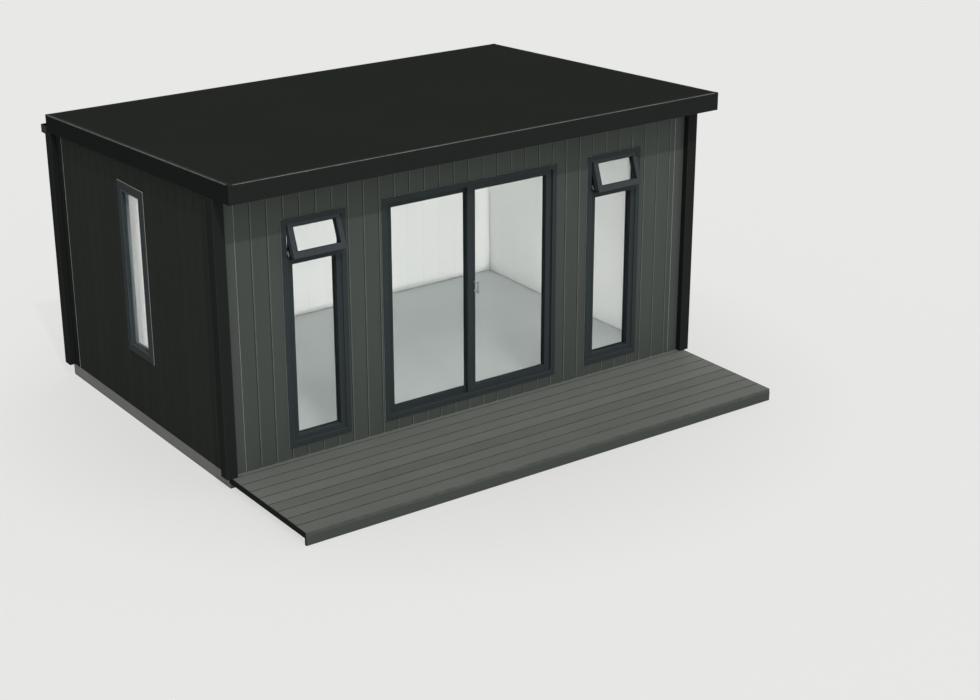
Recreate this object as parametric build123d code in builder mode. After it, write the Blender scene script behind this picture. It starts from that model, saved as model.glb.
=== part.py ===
"""Garden office pod: an insulated timber building on a concrete base, with a sliding patio door,
top-hung vents over tall fixed windows, a shallow mono-pitch roof and a low composite deck.

Frame: +X to the right along the door wall, +Y to the rear, +Z up. The origin is the centre of the
base's underside. Sizes are in millimetres.
"""

import math
import os

from build123d import *

os.makedirs("parts", exist_ok=True)

# ---- Driving dimensions -----------------------------------------------------------------------

# Body of the building, over its cladding
body_width = 4830.0
body_depth = 3036.0
base_height = 112.0
floor_thickness = 6.0
cladding_thickness = 20.0
core_thickness = 130.0  # insulated wall panel behind the cladding, lining included

# Corner posts and the flat strips beside them
post_size = 103.0
post_proud = 58.0  # how far a post stands out of the cladding's face
trim_width = 106.0

# Roof
roof_top_front = 2660.0  # top of the roof at its front edge
roof_fall = 170.0  # drop of the roof from its front edge to its rear edge
overhang_front = 327.0
overhang_rear = 42.0
overhang_side = 47.0
roof_depth = 160.0  # height of the roof's edge, edge trim included
roof_panel_bottom = 120.0  # below the roof's top, where the walls end
edge_trim_height = 12.0
edge_trim_width = 35.0
membrane_thickness = 6.0
fascia_thickness = 20.0

# Gutter and downpipe
gutter_reach = 119.0  # from the rear fascia to the gutter's outer face
gutter_height = 74.0
gutter_wall = 4.0
gutter_drop = 26.0  # the gutter's bottom hangs this far under the rear fascia's
downpipe_size = 65.0
downpipe_wall = 3.0
downpipe_inset = 150.0  # from the roof's right end to the pipe's centre
downpipe_foot = 60.0
bracket_height = 30.0
bracket_width = 46.0
bracket_count = 3

# Windows and door, common section sizes
opening_bottom = 214.0  # front windows and door
opening_top = 2192.0  # front windows and door
frame_face = 46.0  # width of an outer frame bar, seen from outside
frame_proud = 10.0  # frame face in front of the cladding
pane_thickness = 24.0

# Front windows
window_width = 600.0
window_centre = 1550.0  # from the building's middle
bead_width = 50.0  # inner step that holds the fixed pane
bead_set_back = 10.0  # from the frame's face to the inner step
pane_set_back = 60.0  # from the frame's face to the fixed pane
transom_bottom = 1805.0
transom_height = 57.0
vent_stile = 49.0
vent_top_rail = 33.0
vent_bottom_rail = 54.0
vent_thickness = 46.0
vent_angle = 20.0  # the vents stand open
vent_head_gap = 0.3
vent_side_gap = 9.0
vent_sill_gap = 2.0  # over the transom when the vent is shut
vent_pane_set_back = 28.0
vent_pane_thickness = 16.0
stay_thickness = 4.0
stay_width = 12.0
stay_reach = 272.0  # down the vent's side, from its top edge to the pivot block
stay_elbow_back = 37.0  # from the pivot block to the elbow, towards the frame
stay_elbow_drop = 18.0  # and downwards
stay_root_depth = 15.0  # behind the frame's face
stay_root_drop = 189.0  # under the vent's top edge

# Side windows
side_window_width = 468.0
side_window_bottom = 668.0
side_window_top = 2200.0
side_frame_face = 65.0
side_pane_set_back = 50.0

# Patio door
door_width = 1814.0
door_frame_depth = 110.0
panel_thickness = 34.0
interlock_stile = 78.0
fixed_jamb_stile = 78.0
fixed_bottom_rail = 50.0
fixed_top_rail = 58.0
sliding_jamb_stile = 72.0
sliding_bottom_rail = 63.0
sliding_top_rail = 38.0
panel_overlap = 78.0  # the two panels' stiles lie behind each other
panel_gap = 5.0  # between the sliding panel and the fixed one
panel_clearance = 6.0  # over and under the sliding panel
jamb_clearance = 9.0  # between the sliding panel and the jamb it closes on
panel_set_back = 15.0  # from the frame's face to the sliding panel's face
panel_pane_set_back = 12.0
panel_pane_thickness = 14.0
runner_length = 80.0
runner_width = 14.0
runner_inset = 120.0
runner_clearance = 0.3
handle_height = 110.0
handle_width = 11.0
handle_thickness = 12.0
handle_stand_off = 42.0
handle_centre = 1241.0  # above the ground
handle_inset = 6.0  # from the meeting stile's outer edge to the middle of the grip
handle_post_size = 10.0
handle_post_spacing = 80.0

# Deck
deck_side_overhang = 11.0  # past the side cladding
deck_depth = 1228.0
board_pitch = 146.0
board_count = 8  # whole boards; a narrow strip fills the rest beside the wall
front_board_extra = 8.0  # the front board is this much wider than the pitch
board_gap = 4.0
board_thickness = 26.0
nosing_thickness = 24.0
nosing_edge_radius = 9.0
joist_width = 45.0
joist_count = 9
joist_inset = 150.0  # from the deck's end to the outermost joist

# ---- Derived places ---------------------------------------------------------------------------

face_x = body_width / 2
face_y = body_depth / 2
core_face_x = face_x - cladding_thickness
core_face_y = face_y - cladding_thickness
room_x = core_face_x - core_thickness
room_y = core_face_y - core_thickness
post_outer_x = face_x + post_proud
post_outer_y = face_y + post_proud
post_inner_x = post_outer_x - post_size
post_inner_y = post_outer_y - post_size
trim_inner_x = post_inner_x - trim_width
roof_front = -face_y - overhang_front
roof_rear = face_y + overhang_rear
roof_x = face_x + overhang_side
fascia_inner_x = roof_x - fascia_thickness
roof_slope = roof_fall / (roof_rear - roof_front)
frame_front = -face_y - frame_proud
window_inner_width = window_width - 2 * frame_face
door_inner_width = door_width - 2 * frame_face
head_bottom = opening_top - frame_face
sill_top = opening_bottom + frame_face


def roof_z(y, drop):
    """Height at depth y of a plane that lies drop under the roof's top."""
    return roof_top_front - (y - roof_front) * roof_slope - drop


def save(piece, name):
    """Labels a finished piece and writes it as its own file."""
    piece.part.label = name
    export_step(piece.part, f"parts/{name}.step")


def roof_strip(x_low, x_high, y_low, y_high, top_drop, bottom_drop):
    """A slab that follows the roof's fall, between two depths under the roof's top."""
    corners = [
        (y_low, roof_z(y_low, bottom_drop)),
        (y_high, roof_z(y_high, bottom_drop)),
        (y_high, roof_z(y_high, top_drop)),
        (y_low, roof_z(y_low, top_drop)),
    ]
    with BuildPart() as strip:
        with BuildSketch(Plane.YZ.offset(x_low)):
            with BuildLine():
                Polyline(*corners, close=True)
            make_face()
        extrude(amount=x_high - x_low)
    return strip


def upright(x_low, x_high, y_low, y_high, bottom, top_drop=roof_panel_bottom):
    """A wall, board or post that stands on a level bottom and ends under the roof's slope."""
    corners = [
        (y_low, bottom),
        (y_high, bottom),
        (y_high, roof_z(y_high, top_drop)),
        (y_low, roof_z(y_low, top_drop)),
    ]
    with BuildPart() as piece:
        with BuildSketch(Plane.YZ.offset(x_low)):
            with BuildLine():
                Polyline(*corners, close=True)
            make_face()
        extrude(amount=x_high - x_low)
    return piece


def block(x_low, x_high, y_low, y_high, z_low, z_high):
    """A plain rectangular piece between two corners."""
    with BuildPart() as piece:
        with BuildSketch(Plane.XY.offset(z_low)):
            with Locations(((x_low + x_high) / 2, (y_low + y_high) / 2)):
                Rectangle(x_high - x_low, y_high - y_low)
        extrude(amount=z_high - z_low)
    return piece


def with_front_hole(piece, centre, width, bottom, top):
    """A front piece with a rectangular opening cut through it along Y."""
    with BuildPart() as cut_piece:
        add(piece.part)
        with BuildSketch(Plane.XZ.offset(face_y)):
            with Locations((centre, (bottom + top) / 2)):
                Rectangle(width, top - bottom)
        extrude(amount=-cladding_thickness - core_thickness, mode=Mode.SUBTRACT)
    return cut_piece


def with_side_hole(piece, side, width, bottom, top):
    """A side piece with a rectangular opening cut through it along X."""
    with BuildPart() as cut_piece:
        add(piece.part)
        with BuildSketch(Plane.YZ.offset(side * face_x)):
            with Locations((0, (bottom + top) / 2)):
                Rectangle(width, top - bottom)
        depth = cladding_thickness + core_thickness
        extrude(amount=-side * depth, mode=Mode.SUBTRACT)
    return cut_piece


# ---- Base and floor ---------------------------------------------------------------------------

with BuildPart() as base_slab:
    with BuildSketch():
        Rectangle(body_width, body_depth)
    extrude(amount=base_height)
save(base_slab, "base_slab")

with BuildPart() as floor_panel:
    with BuildSketch(Plane.XY.offset(base_height)):
        Rectangle(2 * room_x, 2 * room_y)
    extrude(amount=floor_thickness)
save(floor_panel, "floor_panel")

# ---- Front wall, split round the doorway --------------------------------------------------------

door_half = door_width / 2
front_layers = {
    "wall": (post_inner_x, -core_face_y, -room_y),
    "cladding": (trim_inner_x, -face_y, -core_face_y),
}
for layer, (outer_x, y_low, y_high) in front_layers.items():
    for side_name, side in (("left", -1), ("right", 1)):
        x_low, x_high = sorted((side * outer_x, side * door_half))
        front_side = upright(x_low, x_high, y_low, y_high, base_height)
        front_side = with_front_hole(
            front_side, side * window_centre, window_width, opening_bottom, opening_top
        )
        save(front_side, f"front_{layer}_{side_name}")
    save(upright(-door_half, door_half, y_low, y_high, opening_top), f"front_{layer}_header")
    save(
        block(-door_half, door_half, y_low, y_high, base_height, opening_bottom),
        f"front_{layer}_sill",
    )

# ---- Rear and side walls ------------------------------------------------------------------------

save(upright(-post_inner_x, post_inner_x, room_y, core_face_y, base_height), "rear_wall")
save(upright(-trim_inner_x, trim_inner_x, core_face_y, face_y, base_height), "rear_cladding")

side_layers = {"wall": (room_x, core_face_x), "cladding": (core_face_x, face_x)}
for layer, (inner_x, outer_x) in side_layers.items():
    for side_name, side in (("left", -1), ("right", 1)):
        x_low, x_high = sorted((side * inner_x, side * outer_x))
        side_piece = upright(x_low, x_high, -room_y, room_y, base_height)
        side_piece = with_side_hole(
            side_piece, side, side_window_width, side_window_bottom, side_window_top
        )
        save(side_piece, f"{side_name}_{layer}")

# ---- Corner posts and end trims -----------------------------------------------------------------

for row_name, row in (("front", -1), ("rear", 1)):
    for side_name, side in (("left", -1), ("right", 1)):
        x_low, x_high = sorted((side * post_inner_x, side * post_outer_x))
        y_low, y_high = sorted((row * post_inner_y, row * post_outer_y))
        post = upright(x_low, x_high, y_low, y_high, base_height, roof_depth)
        save(post, f"corner_post_{row_name}_{side_name}")


def end_trims(rows):
    """The flat strips between the posts and the boards of the front or rear wall."""
    with BuildPart() as trims:
        for row in rows:
            y_low, y_high = sorted((row * core_face_y, row * face_y))
            for side in (-1, 1):
                x_low, x_high = sorted((side * trim_inner_x, side * post_inner_x))
                add(upright(x_low, x_high, y_low, y_high, base_height).part)
    return trims


save(end_trims([-1]), "front_end_trims")
save(end_trims([1]), "rear_end_trims")

# A side wall's strips are thicker: they also close the corner behind the post.
with BuildPart() as side_end_trims:
    for side in (-1, 1):
        x_low, x_high = sorted((side * post_inner_x, side * face_x))
        for row in (-1, 1):
            y_low, y_high = sorted((row * room_y, row * post_inner_y))
            add(upright(x_low, x_high, y_low, y_high, base_height).part)
save(side_end_trims, "side_end_trims")

# ---- Roof ---------------------------------------------------------------------------------------

fascia_front_back = roof_front + fascia_thickness
fascia_rear_front = roof_rear - fascia_thickness

roof_panel = roof_strip(
    -fascia_inner_x,
    fascia_inner_x,
    fascia_front_back,
    fascia_rear_front,
    edge_trim_height,
    roof_panel_bottom,
)
save(roof_panel, "roof_panel")

roof_membrane = roof_strip(
    edge_trim_width - roof_x,
    roof_x - edge_trim_width,
    roof_front + edge_trim_width,
    roof_rear - edge_trim_width,
    edge_trim_height - membrane_thickness,
    edge_trim_height,
)
save(roof_membrane, "roof_membrane")

fascia_front = roof_strip(
    -roof_x, roof_x, roof_front, fascia_front_back, edge_trim_height, roof_depth
)
save(fascia_front, "fascia_front")

fascia_rear = roof_strip(
    -roof_x, roof_x, fascia_rear_front, roof_rear, edge_trim_height, roof_depth
)
save(fascia_rear, "fascia_rear")

for side_name, side in (("left", -1), ("right", 1)):
    x_low, x_high = sorted((side * fascia_inner_x, side * roof_x))
    fascia_side = roof_strip(
        x_low, x_high, fascia_front_back, fascia_rear_front, edge_trim_height, roof_depth
    )
    save(fascia_side, f"fascia_{side_name}")

with BuildPart() as roof_edge_trim:
    add(roof_strip(-roof_x, roof_x, roof_front, roof_rear, 0, edge_trim_height).part)
    with BuildSketch(Plane.XY.offset(roof_z(roof_rear, edge_trim_height))):
        with Locations((0, (roof_front + roof_rear) / 2)):
            Rectangle(
                2 * (roof_x - edge_trim_width), roof_rear - roof_front - 2 * edge_trim_width
            )
    extrude(amount=roof_fall + edge_trim_height, mode=Mode.SUBTRACT)
save(roof_edge_trim, "roof_edge_trim")

with BuildPart() as soffit:
    add(
        roof_strip(
            -fascia_inner_x,
            fascia_inner_x,
            fascia_front_back,
            fascia_rear_front,
            roof_panel_bottom,
            roof_depth,
        ).part
    )
    with BuildSketch(Plane.XY.offset(roof_z(roof_rear, roof_depth))):
        Rectangle(body_width, body_depth)
    extrude(amount=roof_fall + roof_depth, mode=Mode.SUBTRACT)
save(soffit, "soffit")

# ---- Gutter and downpipe ------------------------------------------------------------------------

fascia_rear_bottom = roof_z(roof_rear, roof_depth)
gutter_bottom = fascia_rear_bottom - gutter_drop

# The rear posts stand a little out of the fascia, so a board packs the gutter out to them.
gutter_board = block(
    -roof_x,
    roof_x,
    roof_rear,
    post_outer_y,
    fascia_rear_bottom,
    gutter_bottom + gutter_height,
)
save(gutter_board, "gutter_board")

gutter_rear = roof_rear + gutter_reach
gutter_width = gutter_rear - post_outer_y
gutter_y = (post_outer_y + gutter_rear) / 2
pipe_x = roof_x - downpipe_inset
pipe_bore = downpipe_size - 2 * downpipe_wall

with BuildPart() as gutter:
    with BuildSketch(Plane.XY.offset(gutter_bottom)):
        with Locations((0, gutter_y)):
            Rectangle(2 * roof_x, gutter_width)
    extrude(amount=gutter_height)
    with BuildSketch(Plane.XY.offset(gutter_bottom + gutter_wall)):
        with Locations((0, gutter_y)):
            Rectangle(2 * (roof_x - gutter_wall), gutter_width - 2 * gutter_wall)
    extrude(amount=gutter_height, mode=Mode.SUBTRACT)
    with BuildSketch(Plane.XY.offset(gutter_bottom)):
        with Locations((pipe_x, gutter_y)):
            Rectangle(pipe_bore, pipe_bore)
    extrude(amount=gutter_wall, mode=Mode.SUBTRACT)
save(gutter, "gutter")

with BuildPart() as downpipe:
    with BuildSketch(Plane.XY.offset(downpipe_foot)):
        with Locations((pipe_x, gutter_y)):
            Rectangle(downpipe_size, downpipe_size)
            Rectangle(pipe_bore, pipe_bore, mode=Mode.SUBTRACT)
    extrude(amount=gutter_bottom - downpipe_foot)
save(downpipe, "downpipe")

# The brackets stand on the rear cladding and hold the pipe's front face.
bracket_reach = gutter_y - downpipe_size / 2 - face_y
bracket_step = (gutter_bottom - downpipe_foot) / bracket_count
with BuildPart() as downpipe_brackets:
    with Locations((pipe_x, face_y + bracket_reach / 2, downpipe_foot)):
        with Locations([(0, 0, (i + 0.5) * bracket_step) for i in range(bracket_count)]):
            Box(bracket_width, bracket_reach, bracket_height)
save(downpipe_brackets, "downpipe_brackets")


# ---- Window and door frames -------------------------------------------------------------------

# Planes on the outer faces of the frames: local X runs along the wall and local Y is up.
front_plane = Plane(origin=(0, frame_front, 0), x_dir=(1, 0, 0), z_dir=(0, -1, 0))
side_planes = {
    "left": Plane(origin=(-face_x - frame_proud, 0, 0), x_dir=(0, -1, 0), z_dir=(-1, 0, 0)),
    "right": Plane(origin=(face_x + frame_proud, 0, 0), x_dir=(0, 1, 0), z_dir=(1, 0, 0)),
}


def ring(plane, centre, bottom, top, width, bar, depth):
    """A rectangular ring of equal bars whose outer face lies on a plane."""
    with BuildPart() as piece:
        with BuildSketch(plane):
            with Locations((centre, (bottom + top) / 2)):
                Rectangle(width, top - bottom)
                Rectangle(width - 2 * bar, top - bottom - 2 * bar, mode=Mode.SUBTRACT)
        extrude(amount=-depth)
    return piece


def pane(plane, left, right, bottom, top, thickness):
    """A sheet of glass whose outer face lies on a plane."""
    with BuildPart() as sheet:
        with BuildSketch(plane):
            with Locations(((left + right) / 2, (bottom + top) / 2)):
                Rectangle(right - left, top - bottom)
        extrude(amount=-thickness)
    return sheet


def glazed_panel(plane, outline, bars, thickness, glass_set_back, glass_thickness):
    """A panel and the pane it holds. Outline and bars go left, right, bottom, top."""
    left, right, bottom, top = outline
    left_bar, right_bar, bottom_bar, top_bar = bars
    clear = (left + left_bar, right - right_bar, bottom + bottom_bar, top - top_bar)
    clear_left, clear_right, clear_bottom, clear_top = clear
    with BuildPart() as panel:
        with BuildSketch(plane):
            with Locations(((left + right) / 2, (bottom + top) / 2)):
                Rectangle(right - left, top - bottom)
            with Locations(((clear_left + clear_right) / 2, (clear_bottom + clear_top) / 2)):
                Rectangle(clear_right - clear_left, clear_top - clear_bottom, mode=Mode.SUBTRACT)
        extrude(amount=-thickness)
    glass = pane(plane.offset(-glass_set_back), *clear, glass_thickness)
    return panel, glass


# ---- Front windows ------------------------------------------------------------------------------

window_depth = pane_set_back + pane_thickness
vent_top = head_bottom - vent_head_gap
vent_half = window_inner_width / 2 - vent_side_gap
vent_height = vent_top - transom_bottom - transom_height - vent_sill_gap
vent_lean = math.radians(vent_angle)
vent_outline = (-vent_half, vent_half, -vent_height, 0)
vent_bars = (vent_stile, vent_stile, vent_bottom_rail, vent_top_rail)
pane_bottom = sill_top + bead_width
pane_half = window_inner_width / 2 - bead_width
bead_plane = front_plane.offset(-bead_set_back)

for side_name, side in (("left", -1), ("right", 1)):
    centre = side * window_centre

    outer_ring = ring(
        front_plane, centre, opening_bottom, opening_top, window_width, frame_face, window_depth
    )
    with BuildPart() as window_frame:
        add(outer_ring.part)
        # The transom runs the frame's whole depth.
        with BuildSketch(front_plane):
            with Locations((centre, transom_bottom + transom_height / 2)):
                Rectangle(window_inner_width, transom_height)
        extrude(amount=-window_depth)
        # The inner step lies beside and under the fixed pane.
        with BuildSketch(bead_plane):
            with Locations((centre, (sill_top + transom_bottom) / 2)):
                Rectangle(window_inner_width, transom_bottom - sill_top)
            with Locations((centre, (pane_bottom + transom_bottom) / 2)):
                Rectangle(2 * pane_half, transom_bottom - pane_bottom, mode=Mode.SUBTRACT)
        extrude(amount=bead_set_back - window_depth)
    save(window_frame, f"window_{side_name}_frame")

    # The vent is hung from its top edge and swung out at the bottom.
    vent_plane = Plane(
        origin=(centre, frame_front, vent_top),
        x_dir=(1, 0, 0),
        z_dir=(0, -math.cos(vent_lean), math.sin(vent_lean)),
    )
    window_vent, vent_glass = glazed_panel(
        vent_plane,
        vent_outline,
        vent_bars,
        vent_thickness,
        vent_pane_set_back,
        vent_pane_thickness,
    )
    save(window_vent, f"window_{side_name}_vent")

    fixed_glass = pane(
        front_plane.offset(-pane_set_back),
        centre - pane_half,
        centre + pane_half,
        pane_bottom,
        transom_bottom,
        pane_thickness,
    )
    with BuildPart() as window_glass:
        add(fixed_glass.part)
        add(vent_glass.part)
    save(window_glass, f"window_{side_name}_glass")


# Each vent hangs on two stays that lie flat on the jambs, in the gaps beside it. A stay runs
# from its root inside the frame down to an elbow, and from there to a block on the vent's side.
def vent_side_point(reach):
    """Where (y, z) the vent's middle thickness lies, a reach down from its top edge."""
    half = vent_thickness / 2
    y = frame_front - reach * math.sin(vent_lean) + half * math.cos(vent_lean)
    z = vent_top - reach * math.cos(vent_lean) - half * math.sin(vent_lean)
    return y, z


def flat_bar(x, start, end, thickness):
    """A stay's bar between two points of the plane at x, thickened along X."""
    rise = end[1] - start[1]
    run = end[0] - start[0]
    with BuildPart() as bar:
        with BuildSketch(Plane.YZ.offset(x)):
            with Locations(((start[0] + end[0]) / 2, (start[1] + end[1]) / 2)):
                length = math.hypot(run, rise) + stay_width
                Rectangle(length, stay_width, rotation=math.degrees(math.atan2(rise, run)))
        extrude(amount=thickness)
    return bar


pivot = vent_side_point(stay_reach)
elbow = (pivot[0] + stay_elbow_back, pivot[1] - stay_elbow_drop)
root = (frame_front + stay_root_depth, vent_top - stay_root_drop)

with BuildPart() as vent_stays:
    for side in (-1, 1):
        for jamb in (-1, 1):
            jamb_x = side * window_centre + jamb * window_inner_width / 2
            add(flat_bar(jamb_x, root, elbow, -jamb * stay_thickness).part)
            add(flat_bar(jamb_x, elbow, pivot, -jamb * stay_thickness).part)
            add(flat_bar(jamb_x, pivot, pivot, -jamb * vent_side_gap).part)
save(vent_stays, "vent_stays")

# ---- Side windows -------------------------------------------------------------------------------

for side_name, plane in side_planes.items():
    side_frame = ring(
        plane,
        0,
        side_window_bottom,
        side_window_top,
        side_window_width,
        side_frame_face,
        side_pane_set_back + pane_thickness,
    )
    save(side_frame, f"side_window_{side_name}_frame")

    side_pane_half = side_window_width / 2 - side_frame_face
    side_glass = pane(
        plane.offset(-side_pane_set_back),
        -side_pane_half,
        side_pane_half,
        side_window_bottom + side_frame_face,
        side_window_top - side_frame_face,
        pane_thickness,
    )
    save(side_glass, f"side_window_{side_name}_glass")

# ---- Patio door ---------------------------------------------------------------------------------

door_frame = ring(
    front_plane, 0, opening_bottom, opening_top, door_width, frame_face, door_frame_depth
)
save(door_frame, "door_frame")

meeting_x = panel_overlap / 2  # both panels reach this far past the door's middle
jamb_x = door_inner_width / 2
sliding_plane = front_plane.offset(-panel_set_back)
fixed_plane = sliding_plane.offset(-panel_thickness - panel_gap)
sliding_bottom = sill_top + panel_clearance
sliding_right = jamb_x - jamb_clearance

door_fixed_panel, door_fixed_glass = glazed_panel(
    fixed_plane,
    (-jamb_x, meeting_x, sill_top, head_bottom),
    (fixed_jamb_stile, interlock_stile, fixed_bottom_rail, fixed_top_rail),
    panel_thickness,
    panel_pane_set_back,
    panel_pane_thickness,
)
save(door_fixed_panel, "door_fixed_panel")
save(door_fixed_glass, "door_fixed_glass")

door_sliding_panel, door_sliding_glass = glazed_panel(
    sliding_plane,
    (-meeting_x, sliding_right, sliding_bottom, head_bottom - panel_clearance),
    (interlock_stile, sliding_jamb_stile, sliding_bottom_rail, sliding_top_rail),
    panel_thickness,
    panel_pane_set_back,
    panel_pane_thickness,
)
save(door_sliding_panel, "door_sliding_panel")
save(door_sliding_glass, "door_sliding_glass")

sliding_face_y = frame_front + panel_set_back
runner_y = sliding_face_y + panel_thickness / 2
runner_bottom = sill_top + runner_clearance
runner_ends = (-meeting_x + runner_inset, sliding_right - runner_inset)
with BuildPart() as door_runners:
    with BuildSketch(Plane.XY.offset(runner_bottom)):
        with Locations([(x, runner_y) for x in runner_ends]):
            Rectangle(runner_length, runner_width)
    extrude(amount=sliding_bottom - runner_bottom)
save(door_runners, "door_runners")

# The pull handle is an upright grip that stands off the meeting stile on two posts.
handle_x = meeting_x - handle_inset
post_heights = [handle_centre + k * handle_post_spacing / 2 for k in (-1, 1)]
with BuildPart() as door_handle:
    with Locations([(handle_x, sliding_face_y - handle_stand_off / 2, z) for z in post_heights]):
        Box(handle_post_size, handle_stand_off, handle_post_size)
    grip_y = sliding_face_y - handle_stand_off - handle_thickness / 2
    with Locations((handle_x, grip_y, handle_centre)):
        Box(handle_width, handle_thickness, handle_height)
save(door_handle, "door_handle")

# ---- Deck ---------------------------------------------------------------------------------------

deck_x = face_x + deck_side_overhang
deck_front = -face_y - deck_depth
board_bottom = base_height - board_thickness
wall_strip = deck_depth - front_board_extra - board_count * board_pitch
first_joint = -face_y - wall_strip

with BuildPart() as deck_boards:
    add(
        block(-deck_x, deck_x, first_joint + board_gap / 2, -face_y, board_bottom, base_height).part
    )
    for i in range(board_count):
        board_rear = first_joint - i * board_pitch - board_gap / 2
        is_front = i == board_count - 1
        board_front = deck_front if is_front else board_rear - board_pitch + board_gap
        add(block(-deck_x, deck_x, board_front, board_rear, board_bottom, base_height).part)
    front_edges = deck_boards.faces().sort_by(Axis.Y)[0].edges()
    fillet(front_edges.filter_by(Axis.X).sort_by(Axis.Z)[-1], nosing_edge_radius)
save(deck_boards, "deck_boards")

deck_nosing = block(
    -deck_x, deck_x, deck_front, deck_front + nosing_thickness, 0, board_bottom
)
save(deck_nosing, "deck_nosing")

joist_length = deck_depth - nosing_thickness
joist_span = 2 * (deck_x - joist_inset)
with BuildPart() as deck_joists:
    with BuildSketch():
        with Locations((0, -face_y - joist_length / 2)):
            with GridLocations(joist_span / (joist_count - 1), 0, joist_count, 1):
                Rectangle(joist_width, joist_length)
    extrude(amount=board_bottom)
save(deck_joists, "deck_joists")
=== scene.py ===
"""Looks of the garden office pod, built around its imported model.

Every piece is made in metres in the model's own frame: +X runs to the right along the door wall,
+Y to the rear and +Z up. Each sub-assembly is a class that holds its own sizes, builds its meshes
and dresses them in a finish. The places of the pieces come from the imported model's nodes.
"""

import logging
import math
import random
from collections.abc import Callable, Iterable, Sequence
from dataclasses import dataclass, field
from enum import Enum
from typing import NamedTuple

import bmesh
import bpy
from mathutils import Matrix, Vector


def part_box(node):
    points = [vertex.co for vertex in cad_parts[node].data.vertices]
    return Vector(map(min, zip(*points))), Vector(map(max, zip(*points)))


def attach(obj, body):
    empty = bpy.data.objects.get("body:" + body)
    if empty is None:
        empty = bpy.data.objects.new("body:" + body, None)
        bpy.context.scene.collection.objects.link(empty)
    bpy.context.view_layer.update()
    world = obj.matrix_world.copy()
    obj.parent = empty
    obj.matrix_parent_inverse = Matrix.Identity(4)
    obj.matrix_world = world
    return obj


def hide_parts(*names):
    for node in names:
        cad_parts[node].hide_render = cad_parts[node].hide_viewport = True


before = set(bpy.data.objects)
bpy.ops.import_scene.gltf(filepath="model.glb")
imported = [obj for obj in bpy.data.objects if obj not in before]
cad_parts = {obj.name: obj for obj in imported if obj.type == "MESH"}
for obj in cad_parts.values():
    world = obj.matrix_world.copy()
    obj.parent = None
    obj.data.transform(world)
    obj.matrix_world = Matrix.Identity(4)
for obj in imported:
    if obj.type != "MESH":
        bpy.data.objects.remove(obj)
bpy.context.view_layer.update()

LOG = logging.getLogger("pod")

Colour = Point = tuple[float, float, float]
Span = tuple[float, float]
Edges = tuple[float, float, float, float]
Place = Callable[[float, float, float], Vector]
Socket = bpy.types.NodeSocket
Inputs = dict[int | str, object]
Vert, Face = bmesh.types.BMVert, bmesh.types.BMFace


class Body(Enum):
    """The two bodies of the model that a piece can ride on."""

    BUILDING = "building"
    SLIDING_DOOR = "sliding_door"


class Run(Enum):
    """The axis that a grain runs along, as how finely it is sampled along X, Y and Z."""

    ALONG_X = (0.06, 1.0, 1.0)
    ALONG_Y = (1.0, 0.06, 1.0)
    UPRIGHT = (1.0, 1.0, 0.06)


class Side(Enum):
    """A wall of the building, seen from outside."""

    FRONT = "front"
    REAR = "rear"
    LEFT = "left"
    RIGHT = "right"


# ---- Shader groups ----


class Graph:
    """Places and joins the nodes of one shader tree."""

    def __init__(self, tree: bpy.types.NodeTree) -> None:
        """Takes the node tree of a material, a world or a group to work in."""
        self.tree = tree

    def feed(self, socket: Socket, value: object) -> None:
        """Links a socket into an input, or sets the input's own value.

        Args:
            socket: the input.
            value: an output socket, a number, a vector or a colour without its alpha.
        """
        if isinstance(value, Socket):
            self.tree.links.new(value, socket)
        else:
            socket.default_value = (*value, 1.0) if socket.type == "RGBA" else value

    def node(self, kind: str, inputs: Inputs | None = None, **settings: object) -> bpy.types.Node:
        """Adds a node.

        Args:
            kind: the node's type name.
            inputs: what its inputs take, by name or number.
            settings: attributes of the node, by name.

        Returns:
            The new node.
        """
        made = self.tree.nodes.new(kind)
        for name, value in settings.items():
            setattr(made, name, value)
        for key, value in (inputs or {}).items():
            self.feed(made.inputs[key], value)
        return made

    def maths(self, operation: str, first: object, second: object) -> Socket:
        """Adds a Math node of two inputs and gives its output."""
        return self.node("ShaderNodeMath", {0: first, 1: second}, operation=operation).outputs[0]

    def vector(self, operation: str, first: object, second: object) -> bpy.types.NodeOutputs:
        """Adds a Vector Math node of two inputs and gives its outputs."""
        return self.node("ShaderNodeVectorMath", {0: first, 1: second}, operation=operation).outputs

    def remap(self, value: object, low: float, high: float, out: Span) -> Socket:
        """Maps a value between low and high to one between the two of out, held inside them."""
        ends = {"From Min": low, "From Max": high, "To Min": out[0], "To Max": out[1]}
        return self.node("ShaderNodeMapRange", {"Value": value, **ends}).outputs["Result"]

    def mix(self, factor: object, first: object, second: object) -> Socket:
        """Mixes two colours, where the factor is the share of the second one."""
        return self.node("ShaderNodeMix", {0: factor, 6: first, 7: second}, data_type="RGBA").outputs[2]

    def mix_shaders(self, factor: object, first: Socket, second: Socket) -> Socket:
        """Mixes two shaders, where the factor is the share of the second one."""
        return self.node("ShaderNodeMixShader", {0: factor, 1: first, 2: second}).outputs[0]

    def noise(self, vector: Socket, scale: object, detail: float = 4.0, rough: float = 0.55) -> Socket:
        """Adds a noise texture around 0.5, with so many finer layers of that strength."""
        inputs = {"Vector": vector, "Scale": scale, "Detail": detail, "Roughness": rough}
        return self.node("ShaderNodeTexNoise", inputs).outputs["Fac"]

    def around_zero(self, value: Socket, strength: object) -> Socket:
        """Turns a value around 0.5 into one around 0, times a strength."""
        return self.maths("MULTIPLY", self.maths("SUBTRACT", value, 0.5), strength)

    def part(self, vector: Socket, axis: str) -> Socket:
        """Takes one of a vector's parts: X, Y or Z."""
        return self.node("ShaderNodeSeparateXYZ", {0: vector}).outputs[axis]

    def attribute(self, name: str) -> Socket:
        """Reads one of the mesh's own face values, which is 0 where a mesh has none."""
        return self.node("ShaderNodeAttribute", attribute_name=name).outputs["Fac"]


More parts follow.
